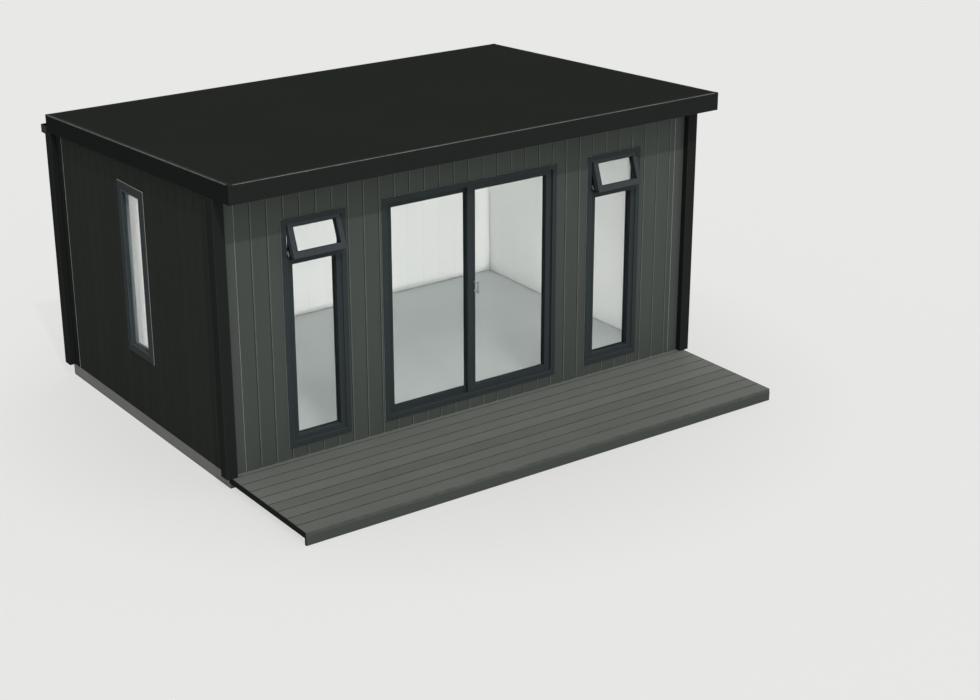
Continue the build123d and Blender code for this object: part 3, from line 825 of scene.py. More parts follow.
class Shape:
    """A mesh in the making, with a tone and an edge value on each face."""

    def __init__(self) -> None:
        """Starts empty."""
        self.mesh = bmesh.new()
        self.tone = self.mesh.faces.layers.float.new("tone")
        self.edge = self.mesh.faces.layers.float.new("edge")

    def points(self, places: Iterable[Vector]) -> list[Vert]:
        """Adds vertices."""
        return [self.mesh.verts.new(place) for place in places]

    def face(self, corners: Sequence[Vert], tone: float = 0.0, edge: float = 0.0) -> Face:
        """Adds a face.

        Args:
            corners: its vertices in order.
            tone: its tone, where 0 is the finish's own.
            edge: 1 on an edge that takes the finish's edge colour, else 0.

        Returns:
            The new face.
        """
        made = self.mesh.faces.new(corners)
        made[self.tone] = tone
        made[self.edge] = edge
        return made

    def sweep(
        self, rings: Sequence[Sequence[Vector]], tones: Sequence[float] = (),
        edges: Sequence[float] = (), end_tone: float | None = 0.0) -> list[Face]:
        """Joins rings of points into a bar.

        Args:
            rings: the rings from one end to the other, all with as many points.
            tones: the tone of the face that starts at each point of a ring.
            edges: the edge value of that face.
            end_tone: the tone of its flat ends, or None to join them into a loop.

        Returns:
            The bar's faces.
        """
        made = [self.points(ring) for ring in rings]
        if end_tone is None:
            faces = []
            made.append(made[0])
        else:
            faces = [self.face(made[0], end_tone), self.face(made[-1], end_tone)]
        count = len(rings[0])
        for first, second in zip(made, made[1:]):
            for index in range(count):
                following = (index + 1) % count
                corners = (first[index], first[following], second[following], second[index])
                tone = tones[index] if tones else 0.0
                faces.append(self.face(corners, tone, edges[index] if edges else 0.0))
        bmesh.ops.recalc_face_normals(self.mesh, faces=faces)
        return faces

    def hexahedron(self, corners: Sequence[Vector], radius: float, tone: float = 0.0) -> None:
        """Adds a block with rounded edges, which are marked as edges that take the finish's edge
        colour.

        Args:
            corners: the lower corners in order round the block, then those above them.
            radius: how much its edges are rounded.
            tone: the tone of its faces.
        """
        faces = self.sweep((corners[:4], corners[4:]), (tone,) * 4, end_tone=tone)
        if radius > 0.0:
            edges = list(dict.fromkeys(edge for face in faces for edge in face.edges))
            softened = bmesh.ops.bevel(
                self.mesh, geom=edges, offset=radius,
                offset_type="OFFSET", segments=SOFT_STEPS, profile=0.5, affect="EDGES",
                clamp_overlap=True)
            for face in softened["faces"]:
                face[self.edge] = 1.0

    def block(
        self, low: Sequence[float], high: Sequence[float], radius: float, tone: float = 0.0) -> None:
        """Adds an upright block between two corners, with rounded edges."""
        plan = around((low[0], high[0]), (low[1], high[1]))
        self.hexahedron([Vector((x, y, z)) for z in (low[2], high[2]) for x, y in plan], radius, tone)

    def placed_block(self, place: Place, along: Edges, depth: Span, radius: float) -> None:
        """Adds a block between edges (left, right, bottom, top) and two depths of a wall or frame."""
        plan = around(along[:2], depth)
        self.hexahedron([place(a, d, b) for b in along[2:] for a, d in plan], radius)

    def ring(
        self, place: Place, outline: Outline, bars: Edges, profile: Sequence[Corner],
        open_top: bool = False, mitred: bool = True) -> None:
        """Sweeps a section round a rectangle, with a fine line at each mitre.

        Args:
            place: puts a point in the model.
            outline: the ring's outer edge.
            bars: how wide its left, right, bottom and top bars are.
            profile: the bars' section.
            open_top: leaves the top bar out, so that the sides end at the outline's top.
            mitred: whether the corners have a fine welded line.
        """
        width = sum(bars) / 4
        rows = section(profile, width)
        sunk = sunk_section(rows, width)
        edges = [float(row[3]) for row in rows]

        def level(row: Row, right: bool) -> float:
            """Where a row lies along the wall, on the left or the right bar."""
            reach = row[0] + bars[right] * row[2]
            return outline.right - reach if right else outline.left + reach

        def station(right: bool, top: bool, shift: tuple[int, int]) -> list[Vector]:
            """Places the section at a corner.

            Args:
                right: whether it is a right-hand corner.
                top: whether it is an upper corner.
                shift: (0, 0) on the mitre, (1, 0) just off it on the level bar and (0, 1) on the
                    upright bar.

            Returns:
                The section's points.
            """
            spots = []
            for row in sunk if mitred and not any(shift) else rows:
                reach = row[0] + bars[2 + top] * row[2]
                height = outline.top - reach if top else outline.bottom + reach
                a = level(row, right) + shift[0] * (-1 if right else 1) * MITRE_HALF_WIDTH
                b = height + shift[1] * (-1 if top else 1) * MITRE_HALF_WIDTH
                spots.append(place(a, row[1], b))
            return spots

        shifts = ((0, 1), (0, 0), (1, 0)) if mitred else ((0, 0),)
        corners = ((False, False, 1), (True, False, -1), (True, True, 1), (False, True, -1))
        rings = [
            station(right, top, shift) for right, top, order in corners[:2 if open_top else 4]
            for shift in shifts[::order]]
        if open_top:
            left, right = (
                [place(level(row, end), row[1], outline.top) for row in rows] for end in (False, True))
            rings = [left, *rings, right]
        self.sweep(rings, edges=edges, end_tone=0.0 if open_top else None)

    def wall(
        self, place: Place, plan: Sequence[WallCorner], bottom: float, top: Callable[[float], float]
    ) -> None:
        """Stands a plan up into a closed wall whose top follows the roof.

        Args:
            place: puts a point in the model.
            plan: the corners of the wall's plan in order.
            bottom: the height of its foot.
            top: the height of its top at a place along Y.
        """
        low = [place(corner.along, corner.depth, bottom) for corner in plan]
        high = [Vector((spot.x, spot.y, top(spot.y))) for spot in low]
        self.sweep([low, high], [corner.tone for corner in plan], [corner.edge for corner in plan])

    def tube(self, start: Vector, stop: Vector, radius: float) -> None:
        """Adds a round straight bar with bevelled ends.

        Args:
            start: the middle of its first end.
            stop: the middle of its other end.
            radius: the bar's radius.
        """
        axis = (stop - start).normalized()
        across = axis.orthogonal().normalized()
        up = axis.cross(across)
        rings = []
        for reach, inset in chamfered(0.0, (stop - start).length, radius * TUBE_CHAMFER):
            ring = []
            for step in range(TUBE_SIDES):
                turn = 2 * math.pi * step / TUBE_SIDES
                arm = across * math.cos(turn) + up * math.sin(turn)
                ring.append(start + axis * reach + arm * (radius - inset))
            rings.append(ring)
        self.sweep(rings)

    def object(self, name: str, smooth: bool = True) -> bpy.types.Object:
        """Turns the shape into an object.

        Args:
            name: the object's name.
            smooth: whether its rounded edges are shaded smooth.

        Returns:
            The object, in the scene.
        """
        data = bpy.data.meshes.new(name)
        self.mesh.to_mesh(data)
        self.mesh.free()
        made = bpy.data.objects.new(name, data)
        bpy.context.scene.collection.objects.link(made)
        if smooth:
            data.shade_smooth()
            data.set_sharp_from_angle(angle=SMOOTH_ANGLE)
            made.modifiers.new("normals", "WEIGHTED_NORMAL").keep_sharp = True
        return made


def cut_openings(piece: bpy.types.Object, openings: Sequence[Box]) -> None:
    """Cuts boxes out of a piece.

    Args:
        piece: the piece to cut.
        openings: the lowest and highest corner of each box.
    """
    tool = Shape()
    for low, high in openings:
        tool.block(low, high, 0.0)
    cutter = tool.object("cutter", smooth=False)
    cut = piece.modifiers.new("openings", "BOOLEAN")
    cut.operation = "DIFFERENCE"
    cut.solver = "EXACT"
    cut.object = cutter
    bpy.context.view_layer.update()
    ready = piece.evaluated_get(bpy.context.evaluated_depsgraph_get())
    mesh = bpy.data.meshes.new_from_object(ready)
    piece.modifiers.clear()
    before = piece.data
    piece.data = mesh
    mesh.name = piece.name
    bpy.data.meshes.remove(before)
    bpy.data.objects.remove(cutter)


# ---- What the sub-assemblies share ----


def wall_place(side: Side, face: float) -> Place:
    """Turns a wall's own measures into points.

    Args:
        side: which wall.
        face: how far from the model's middle the measured face lies.

    Returns:
        A function of along (to the right, seen from outside), depth (inwards) and height.
    """
    places: dict[Side, Place] = {
        Side.FRONT: lambda a, d, b: Vector((a, d - face, b)),
        Side.REAR: lambda a, d, b: Vector((-a, face - d, b)),
        Side.LEFT: lambda a, d, b: Vector((d - face, -a, b)),
        Side.RIGHT: lambda a, d, b: Vector((face - d, a, b))}
    return places[side]


@dataclass(frozen=True)
class RoofPlane:
    """The roof's falling top, read from its edge trim."""

    front: float
    rear: float
    top: float
    fall: float
    half_width: float

    @classmethod
    def read(cls, trim_height: float) -> "RoofPlane":
        """Reads the roof's plane from the model, given how high its edge trim is."""
        low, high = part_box("roof_edge_trim")
        return cls(low.y, high.y, high.z, high.z - low.z - trim_height, high.x)

    def height(self, y: float, drop: float = 0.0) -> float:
        """The height of a plane that lies drop under the roof's top, at a place along Y."""
        share = (y - self.front) / (self.rear - self.front)
        return self.top - share * self.fall - drop

    def place(self, a: float, d: float, b: float) -> Vector:
        """A point on the roof: to the right, down into it and to the rear."""
        return Vector((a, b, self.height(b, d)))


@dataclass
class Workshop:
    """Keeps the finishes that are made, and counts the pieces."""

    finishes: dict[str, bpy.types.Material] = field(default_factory=dict)
    count: int = 0
    faces: int = 0

    def material(self, finish: Finish) -> bpy.types.Material:
        """Gives a finish's material, made once.

        Args:
            finish: the finish.

        Returns:
            Its material.
        """
        if finish.name not in self.finishes:
            self.finishes[finish.name] = finish.make()
        return self.finishes[finish.name]


@dataclass
class Assembly:
    """What every sub-assembly does with its shapes: it dresses them and hangs them on their bodies."""

    shop: Workshop

    def add(
        self, shape: Shape, name: str, finish: Finish, *replaced: str, body: Body = Body.BUILDING,
        smooth: bool = True, openings: Sequence[Box] = ()) -> None:
        """Makes a piece of a shape, dresses it, hangs it on its body and hides the model's nodes that
        it stands for.

        Args:
            shape: the piece's shape.
            name: the piece's name.
            finish: what it is dressed in.
            replaced: the model's nodes that it stands for.
            body: what it moves with.
            smooth: whether its rounded edges are shaded smooth.
            openings: boxes that are cut out of it.
        """
        piece = shape.object(name, smooth)
        if openings:
            cut_openings(piece, openings)
        piece.data.materials.clear()
        piece.data.materials.append(self.shop.material(finish))
        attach(piece, body.value)
        if replaced:
            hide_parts(*replaced)
        faces = len(piece.data.polygons)
        self.shop.count += 1
        self.shop.faces += faces
        LOG.info("piece %s: %d faces, on %s", name, faces, body.value)

    def carried(self, name: str, finish: Finish) -> None:
        """Dresses one of the model's own nodes, whose shape is kept.

        Args:
            name: the node's name.
            finish: what it is dressed in.
        """
        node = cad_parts[name]
        material = self.shop.material(finish)
        if node.material_slots:
            for slot in node.material_slots:
                slot.material = material
        else:
            node.data.materials.append(material)
        LOG.info("kept node %s in %s", name, finish.name)


# ---- Base, floor and walls ----


@dataclass
class Base(Assembly):
    """The cast base and the floor sheet on it."""

    edge_radius: float = 0.004

    def build(self) -> None:
        """Builds the base and dresses the floor sheet."""
        shape = Shape()
        shape.block(*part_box("base_slab"), self.edge_radius)
        self.add(shape, "base_plinth", CONCRETE, "base_slab")
        self.carried("floor_panel", FLOOR_VINYL)


@dataclass(frozen=True)
class Groove:
    """A joint between two boards, seen from outside: a slot, then the next board's shoulder."""

    width: float
    depth: float
    shoulder_width: float
    shoulder_depth: float
    lip: float


@dataclass(frozen=True)
class Boarding:
    """How a layer of a wall is boarded: its joints, how far the boards' tones differ, and the shade
    painted into its joints.
    """

    thickness: float
    first: float
    pitch: float
    spread: float
    groove: Groove
    inside: bool = False
    margin: float = 0.02
    # Painted shade in each joint: a darker tone on the slot's side wall, and a darker floor that grows
    # with the slot's depth up to a limit.
    lip_painted_shade: float = -0.1
    slot_painted_shade: float = 0.6
    slot_painted_shade_rate: float = 50.0

    def plan(self, half: float, rng: random.Random) -> list[WallCorner]:
        """Draws the layer's plan.

        Args:
            half: half its length.
            rng: gives each board its tone.

        Returns:
            The plan's corners in order.
        """
        groove = self.groove

        def corner(along: float, depth: float, tone: float = 0.0, edge: float = 0.0) -> WallCorner:
            """A corner as deep in from the boarded face."""
            return WallCorner(along, self.thickness - depth if self.inside else depth, tone, edge)

        # Painted shade: the slot's side wall and floor are drawn darker, and the next board's shoulder
        # is marked as an edge, which the finish's edge colour paints.
        dark = min(self.slot_painted_shade, self.slot_painted_shade_rate * groove.depth)
        tone = rng.uniform(-self.spread, self.spread)
        corners = [corner(-half, 0.0, tone)]
        joint = self.first - half
        while joint < half - self.margin:
            start = joint - groove.width
            corners += [
                corner(start - groove.lip, 0.0, tone), corner(start, groove.lip, tone + self.lip_painted_shade),
                corner(start, groove.depth, tone - dark), corner(joint, groove.depth, tone)]
            tone = rng.uniform(-self.spread, self.spread)
            corners += [
                corner(joint, groove.shoulder_depth, tone, 1.0),
                corner(joint + groove.shoulder_width, 0.0, tone)]
            joint += self.pitch
        corners += [corner(half, 0.0), corner(half, self.thickness), corner(-half, self.thickness)]
        return corners


@dataclass
class Walls(Assembly):
    """The lined wall panels, their cladding boards and the plain strips at their ends."""

    roof: RoofPlane
    top_drop: float = 0.120
    post_drop: float = 0.160
    room_y: float = 1.368
    panel: float = 0.130
    cladding: float = 0.020
    board_pitch: float = 0.1491
    front_first: float = 0.144
    side_first: float = 0.1324
    tone_spread: float = 0.035
    strip_radius: float = 0.002
    post_radius: float = 0.005
    joint_widths: Span = (0.0028, 0.0018)
    joint_rise: float = 0.0015
    joint_back: float = 0.004
    seal_widths: Span = (0.0009, 0.0045)
    seal_depth: float = 0.003
    proud: float = 0.0025
    reach: float = 0.3
    slot: Groove = Groove(0.007, 0.011, 0.009, 0.0035, 0.001)
    side_slot: Groove = Groove(0.004, 0.002, 0.006, 0.001, 0.0008)
    lining_joint: Groove = Groove(0.0012, 0.0010, 0.0010, 0.0002, 0.0008)
    lining_first: float = 0.165
    lining_pitch: float = 0.196
    lining_spread: float = 0.004
    openings: dict[Side, list[Box]] = field(default_factory=dict)

    def __post_init__(self) -> None:
        """Reads where the walls stand, and where the windows and the door go through them."""
        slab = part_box("base_slab")[1]
        self.foot, self.face_x, self.face_y = slab.z, slab.x, slab.y
        self.outer, self.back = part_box("rear_wall")[1].xy
        self.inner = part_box("rear_cladding")[1].x
        for side, nodes in {
            Side.FRONT: ("window_left_frame", "window_right_frame", "door_frame"),
            Side.LEFT: ("side_window_left_frame",), Side.RIGHT: ("side_window_right_frame",),
            Side.REAR: ()}.items():
            deeper = Vector((0.0, self.reach, 0.0) if side is Side.FRONT else (self.reach, 0.0, 0.0))
            boxes = [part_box(node) for node in nodes]
            self.openings[side] = [(low - deeper, high + deeper) for low, high in boxes]

    def face(self, side: Side) -> float:
        """How far a wall's cladding lies from the model's middle."""
        return self.face_y if side in (Side.FRONT, Side.REAR) else self.face_x

    def top(self, y: float) -> float:
        """The height of the walls' tops at a place along Y."""
        return self.roof.height(y, self.top_drop)

    def build_wall(self, side: Side) -> None:
        """Builds one wall: its cladding boards, and its panel with the lining.

        Args:
            side: which wall.
        """
        is_front, is_long = side is Side.FRONT, side in (Side.FRONT, Side.REAR)
        rng = random.Random(f"boards {side.value}")
        boards = Boarding(
            self.cladding, self.front_first if is_long else self.side_first, self.board_pitch,
            self.tone_spread, self.slot if is_front else self.side_slot)
        lining = Boarding(
            self.panel, self.lining_first, self.lining_pitch, self.lining_spread, self.lining_joint,
            inside=True)
        face = self.face(side)
        for name, kind, layer, half, front, finish in (
            ("boards", "cladding", boards, self.inner, face,
            CLADDING_GREY if is_front else CLADDING_BLACK),
            ("lined_panel", "wall", lining, self.outer, face - self.cladding, LINING_WHITE)):
            plan = layer.plan(half if is_long else self.room_y, rng)
            shape = Shape()
            shape.wall(wall_place(side, front), plan, self.foot, self.top)
            parts = ("_left", "_right", "_header", "_sill") if is_front else ("",)
            nodes = [f"{side.value}_{kind}{part}" for part in parts]
            self.add(
                shape, f"{side.value}_{name}", finish, *nodes, smooth=False,
                openings=self.openings[side])

    def strip(self, shape: Shape, x: Span, y: Span, foot: float, radius: float, drop: float) -> None:
        """Adds an upright strip or post whose top follows the roof.

        Args:
            shape: where it is added.
            x: its left and right.
            y: its front and back.
            foot: the height of its foot.
            radius: how much its edges are rounded.
            drop: how far its top lies under the roof's.
        """
        plan = around(x, y)
        corners = [Vector((a, b, foot)) for a, b in plan]
        corners += [Vector((a, b, self.roof.height(b, drop))) for a, b in plan]
        shape.hexahedron(corners, radius)

    def build_strips(self) -> None:
        """Builds the plain strips beside the posts."""
        shape_of = (self.foot, self.strip_radius, self.top_drop)
        for row, node, finish in (
            (-1, "front_end_trims", TRIM_GREY), (1, "rear_end_trims", TRIM_BLACK)):
            shape = Shape()
            for end in (-1, 1):
                x, y = mirrored(end, self.inner, self.outer), mirrored(row, self.back, self.face_y)
                self.strip(shape, x, y, *shape_of)
            self.add(shape, f"{node}_strips", finish, node)
        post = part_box("corner_post_rear_right")[0]
        shape = Shape()
        for end in (-1, 1):
            for row in (-1, 1):
                x = mirrored(end, post.x, self.face_x + self.proud)
                self.strip(shape, x, mirrored(row, self.room_y, post.y), *shape_of)
        self.add(shape, "side_end_strips", TRIM_BLACK, "side_end_trims")

    def build_posts(self) -> None:
        """Builds the four corner posts."""
        for row in ("front", "rear"):
            for side in ("left", "right"):
                node = f"corner_post_{row}_{side}"
                low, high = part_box(node)
                shape = Shape()
                self.strip(
                    shape, (low.x, high.x), (low.y, high.y), low.z, self.post_radius, self.post_drop)
                self.add(shape, f"{node}_cover", POST_BLACK, node)

    def build_joint_lines(self) -> None:
        """Builds the pale sealant lines between the boards and the plain strips, and round the frames;
        their pale colour is a painted highlight along these joints.
        """
        rise, back = self.joint_rise, self.joint_back
        wide, narrow = self.joint_widths
        lines = Shape()
        for side, along, width in (
            (Side.FRONT, -self.inner, wide), (Side.FRONT, self.inner - wide, wide),
            (Side.LEFT, -self.room_y, narrow), (Side.RIGHT, self.room_y - narrow, narrow)):
            plan = [
                WallCorner(along + width * share, depth) for share, depth in (
                    (0.0, rise * 2), (0.3, 0.0), (0.7, 0.0), (1.0, rise * 2), (1.0, back), (0.0, back))]
            lines.wall(wall_place(side, self.face(side) + rise), plan, self.foot + 0.002, self.top)
        self.add(lines, "wall_joint_sealant", SEALANT_PAINTED_HIGHLIGHT, smooth=False)

        seals = Shape()
        for side, boxes in self.openings.items():
            width = self.seal_widths[side is not Side.FRONT]
            for low, high in boxes:
                along = (low.x, high.x) if side is Side.FRONT else (low.y, high.y)
                if side is Side.LEFT:
                    along = (-high.y, -low.y)
                seals.ring(
                    wall_place(side, self.face(side) + rise),
                    Outline(*along, low.z, high.z).grown(width), (width,) * 4,
                    bar_section((0.0, self.seal_depth)), mitred=False)
        self.add(seals, "frame_sealant", SEALANT_PAINTED_HIGHLIGHT, smooth=False)

    def build(self) -> None:
        """Builds all four walls with their strips and posts."""
        for side in Side:
            self.build_wall(side)
        self.build_strips()
        self.build_posts()
        self.build_joint_lines()


# ---- Roof ----


@dataclass
class Roof(Assembly):
    """The rubber sheet, its edge trim, the fascias and the soffit."""

    plane: RoofPlane
    trim_height: float = 0.012
    trim_width: float = 0.035
    trim_radius: float = 0.0038
    trim_lip: Span = (0.006, 0.0005)
    sheet: float = 0.006
    sheet_gap: float = 0.0005
    seam: float = 0.82
    seam_half: float = 0.04
    seam_rise: float = 0.0006
    depth: float = 0.160
    soffit_top: float = 0.120
    board: float = 0.020
    cap_reach: float = 0.040
    cap_proud: float = 0.002
    soffit_boards: int = 3
    soffit_gap: float = 0.006
    # Painted shade for the fascias' and caps' faces that look to the left or right.
    side_tone: float = -0.25

    def build_sheet(self) -> None:
        """Builds the rubber sheet with its two lapped seams."""
        plane, reach = self.plane, self.trim_width + self.sheet_gap
        half = plane.half_width - reach
        front, rear = plane.front + reach, plane.rear - reach
        top = self.trim_height - self.sheet
        shape = Shape()
        shape.placed_block(plane.place, (-half, half, front, rear), (top, self.trim_height), 0.001)
        for seam in (-self.seam, self.seam):
            along = (seam - self.seam_half, seam + self.seam_half, front + 0.001, rear - 0.001)
            shape.placed_block(plane.place, along, (top - self.seam_rise, top + 0.002), 0.0005)
        self.add(shape, "roof_rubber_sheet", MEMBRANE, "roof_membrane")

    def build_edge(self) -> None:
        """Builds the trim round the roof's edge and its corner caps."""
        plane, lip = self.plane, self.trim_lip
        outline = Outline(-plane.half_width, plane.half_width, plane.front, plane.rear)
        profile = [
            Corner(0.0, self.trim_height), Corner(0.0, lip[1], radius=self.trim_radius),
            Corner(-lip[0], lip[1], True), Corner(0.0, lip[0], True),
            Corner(0.0, self.trim_height, True)]
        shape = Shape()
        shape.ring(plane.place, outline, (self.trim_width,) * 4, profile)
        self.add(shape, "roof_edge_capping", EDGE_TRIM, "roof_edge_trim")
        caps = Shape()
        reach, proud = self.cap_reach, self.cap_proud
        for end in (-1, 1):
            x = mirrored(end, plane.half_width - reach, plane.half_width + proud)
            for y, bottom in (
                ((plane.front - proud, plane.front + reach), self.depth),
                ((plane.rear - reach, plane.rear), self.trim_height)):
                caps.placed_block(plane.place, (*x, *y), (0.0, bottom), 0.003)
        self.paint_side_shade(caps)
        self.add(caps, "roof_corner_caps", FASCIA)

    def paint_side_shade(self, shape: Shape) -> None:
        """Paints shade onto the faces that look to the left or right, as a darker tone.

        Args:
            shape: the shape to change.
        """
        for face in shape.mesh.faces:
            face.normal_update()
            if abs(face.normal.x) > 0.7:
                face[shape.tone] = self.side_tone

    def build_fascias(self) -> None:
        """Builds the four fascia boards."""
        plane, board, half = self.plane, self.board, self.plane.half_width
        front, rear = plane.front + board, plane.rear - board
        for side, along in {
            "front": (-half, half, plane.front, front), "rear": (-half, half, rear, plane.rear),
            "left": (-half, board - half, front, rear), "right": (half - board, half, front, rear),
        }.items():
            shape = Shape()
            shape.placed_block(plane.place, along, (self.trim_height, self.depth), 0.002)
            self.paint_side_shade(shape)
            self.add(shape, f"fascia_{side}_board", FASCIA, f"fascia_{side}")

    def build_soffit(self) -> None:
        """Builds the boards under the roof's overhang."""
        plane = self.plane
        low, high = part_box("base_slab")
        half = plane.half_width - self.board
        front, rear = plane.front + self.board, plane.rear - self.board
        pitch = (low.y - front) / self.soffit_boards
        spans = []
        for index in range(self.soffit_boards):
            start = front + index * pitch
            gap = self.soffit_gap if index < self.soffit_boards - 1 else 0.0
            spans.append((-half, half, start, start + pitch - gap))
        spans += [(*mirrored(end, high.x, half), low.y, high.y) for end in (-1, 1)]
        spans.append((-half, half, high.y, rear))
        shape = Shape()
        for along in spans:
            shape.placed_block(plane.place, along, (self.soffit_top, self.depth), 0.0015)
        self.add(shape, "soffit_boards", FASCIA, "soffit")

    def build(self) -> None:
        """Builds the whole roof."""
        self.build_sheet()
        self.build_edge()
        self.build_fascias()
        self.build_soffit()
        self.carried("roof_panel", CEILING_WHITE)


# ---- Gutter and downpipe ----


@dataclass
class Rainwater(Assembly):
    """The gutter behind the roof, its board, the downpipe and the pipe's brackets."""

    wall: float = 0.004
    lip: float = 0.010
    lip_share: float = 0.7
    bend: float = 0.003
    cap: float = 0.003
    hangers: int = 6
    hanger_half: float = 0.012
    collar: float = 0.0035
    collar_height: float = 0.055
    low_collar: float = 0.9
    pipe_wall: float = 0.003
    pipe_radius: float = 0.008
    straps: int = 3
    strap_height: float = 0.030
    strap_half: float = 0.002

    def build_gutter(self) -> None:
        """Builds the gutter with its rolled lip, ends and hangers."""
        low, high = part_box("gutter")
        wall, lip, bend = self.wall, high.y - self.lip, self.bend
        lip_foot = high.z - wall * self.lip_share
        plan = [
            (low.y, low.z), (high.y - wall, low.z), (high.y, low.z + wall), (high.y, high.z),
            (lip, high.z), (lip, lip_foot), (high.y - wall, lip_foot),
            (high.y - wall, low.z + wall + bend), (high.y - wall - bend, low.z + wall),
            (low.y + wall, low.z + wall), (low.y + wall, high.z), (low.y, high.z)]
        trough = Shape()
        trough.sweep([
            [Vector((x, y, z)) for y, z in plan] for x in (low.x + self.cap, high.x - self.cap)])
        pipe_low, pipe_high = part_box("downpipe")
        bore = (
            Vector((pipe_low.x + self.pipe_wall, pipe_low.y + self.pipe_wall, low.z - 0.01)),
            Vector((pipe_high.x - self.pipe_wall, pipe_high.y - self.pipe_wall, low.z + 0.01)))
        self.add(trough, "gutter_trough", GUTTER_BLACK, "gutter", smooth=False, openings=[bore])

        fittings = Shape()
        for x in (low.x, high.x - self.cap):
            fittings.block((x, low.y, low.z), (x + self.cap, high.y, high.z), 0.001)
        for index in range(self.hangers):
            x = low.x + (high.x - low.x) * (index + 0.5) / self.hangers
            fittings.block(
                (x - self.hanger_half, low.y + wall + 0.0003, high.z - 0.007),
                (x + self.hanger_half, lip - 0.0003, high.z - 0.004), 0.0008)
        self.add(fittings, "gutter_ends_and_hangers", GUTTER_BLACK)

        board = Shape()
        board.block(*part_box("gutter_board"), 0.0015)
        self.add(board, "gutter_backing_board", GUTTER_BLACK, "gutter_board")

    def square(self, centre: Vector, half: float, radius: float) -> list[Span]:
        """Draws a square with rounded corners.

        Args:
            centre: its middle.
            half: half its width.
            radius: its corners' radius.

        Returns:
            The X and Y of its points.
        """
        spots = []
        for quarter, (sign_x, sign_y) in enumerate(((1, 1), (-1, 1), (-1, -1), (1, -1))):
            for step in range(4):
                angle = math.radians(quarter * 90 + step * 30)
                x = centre.x + sign_x * (half - radius) + radius * math.cos(angle)
                spots.append((x, centre.y + sign_y * (half - radius) + radius * math.sin(angle)))
        return spots

    def hollow(self, shape: Shape, centre: Vector, half: float, wall: float, rise: Span) -> None:
        """Adds an upright square tube with open ends.

        Args:
            shape: where it is added.
            centre: its middle.
            half: half its width.
            wall: how thick it is.
            rise: the heights of its ends.
        """
        outer = self.square(centre, half, self.pipe_radius)
        inner = self.square(centre, half - wall, max(self.pipe_radius - wall, 0.001))
        low, high = rise
        rows = ((outer, low), (outer, high), (inner, high), (inner, low))
        shape.sweep([[Vector((x, y, z)) for x, y in ring] for ring, z in rows], end_tone=None)

    def build_downpipe(self) -> None:
        """Builds the pipe with its collars, and the straps that hold it."""
        low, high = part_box("downpipe")
        centre = (low + high) / 2
        half = (high.x - low.x) / 2
        pipe = Shape()
        self.hollow(pipe, centre, half, self.pipe_wall, (low.z, high.z))
        for bottom in (high.z - self.collar_height, low.z + self.low_collar):
            rise = (bottom, bottom + self.collar_height - 0.001)
            self.hollow(pipe, centre, half + self.collar, self.collar - CLEARANCE, rise)
        self.add(pipe, "downpipe_tube", GUTTER_BLACK, "downpipe")

        box_low, box_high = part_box("downpipe_brackets")
        straps = Shape()
        for index in range(self.straps):
            middle = low.z + (index + 0.5) * ((high.z - low.z) / self.straps)
            foot = middle - self.strap_height / 2
            head = foot + self.strap_height
            straps.block((box_low.x, box_low.y, foot), (box_high.x, box_high.y, head), 0.002)
            for end in (-1, 1):
                x = centre.x + end * (half + self.strap_half)
                straps.block(
                    (x - self.strap_half, low.y + 0.004, foot), (x + self.strap_half, high.y, head),
                    0.0008)
            wide = half + 2 * self.strap_half
            straps.block(
                (centre.x - wide, high.y + CLEARANCE, foot), (centre.x + wide, high.y + 0.003, head),
                0.001)
        self.add(straps, "downpipe_straps", GUTTER_BLACK, "downpipe_brackets")

    def build(self) -> None:
        """Builds the gutter and the downpipe."""
        self.build_gutter()
        self.build_downpipe()


# ---- Windows and the door ----


@dataclass
class Glazed(Assembly):
    """What windows and doors share: a sealed unit of two sheets, its spacer bar and its gasket."""

    sheet: float = 0.004
    spacer: float = 0.004
    gasket: float = 0.0025
    gasket_rise: float = 0.004

    def glaze(
        self, name: str, place: Place, pane: Outline, depth: Span, *replaced: str,
        body: Body = Body.BUILDING, spacer: Finish = SPACER) -> None:
        """Builds a sealed unit.

        Args:
            name: what the pieces' names start with.
            place: puts a point in the model.
            pane: the unit's outline.
            depth: its front and back.
            replaced: the model's nodes that it stands for.
            body: what it moves with.
            spacer: the spacer bar's finish.
        """
        front, back = depth
        sheets = Shape()
        for start, stop in ((front, front + self.sheet), (back - self.sheet, back)):
            sheets.placed_block(place, pane, (start, stop), 0.0)
        self.add(sheets, f"{name}_panes", GLASS, *replaced, body=body, smooth=False)
        gap = (front + self.sheet + CLEARANCE, back - self.sheet - CLEARANCE)
        seat = (front - self.gasket_rise, front - CLEARANCE)
        for kind, width, profile, finish in (
            ("spacer", self.spacer, bar_section(gap, back=0.001, inner=0.001), spacer),
            ("gasket", self.gasket, bar_section(seat, inner=0.0008), GASKET)):
            shape = Shape()
            shape.ring(place, pane, (width,) * 4, profile, mitred=False)
            self.add(shape, f"{name}_{kind}", finish, body=body)


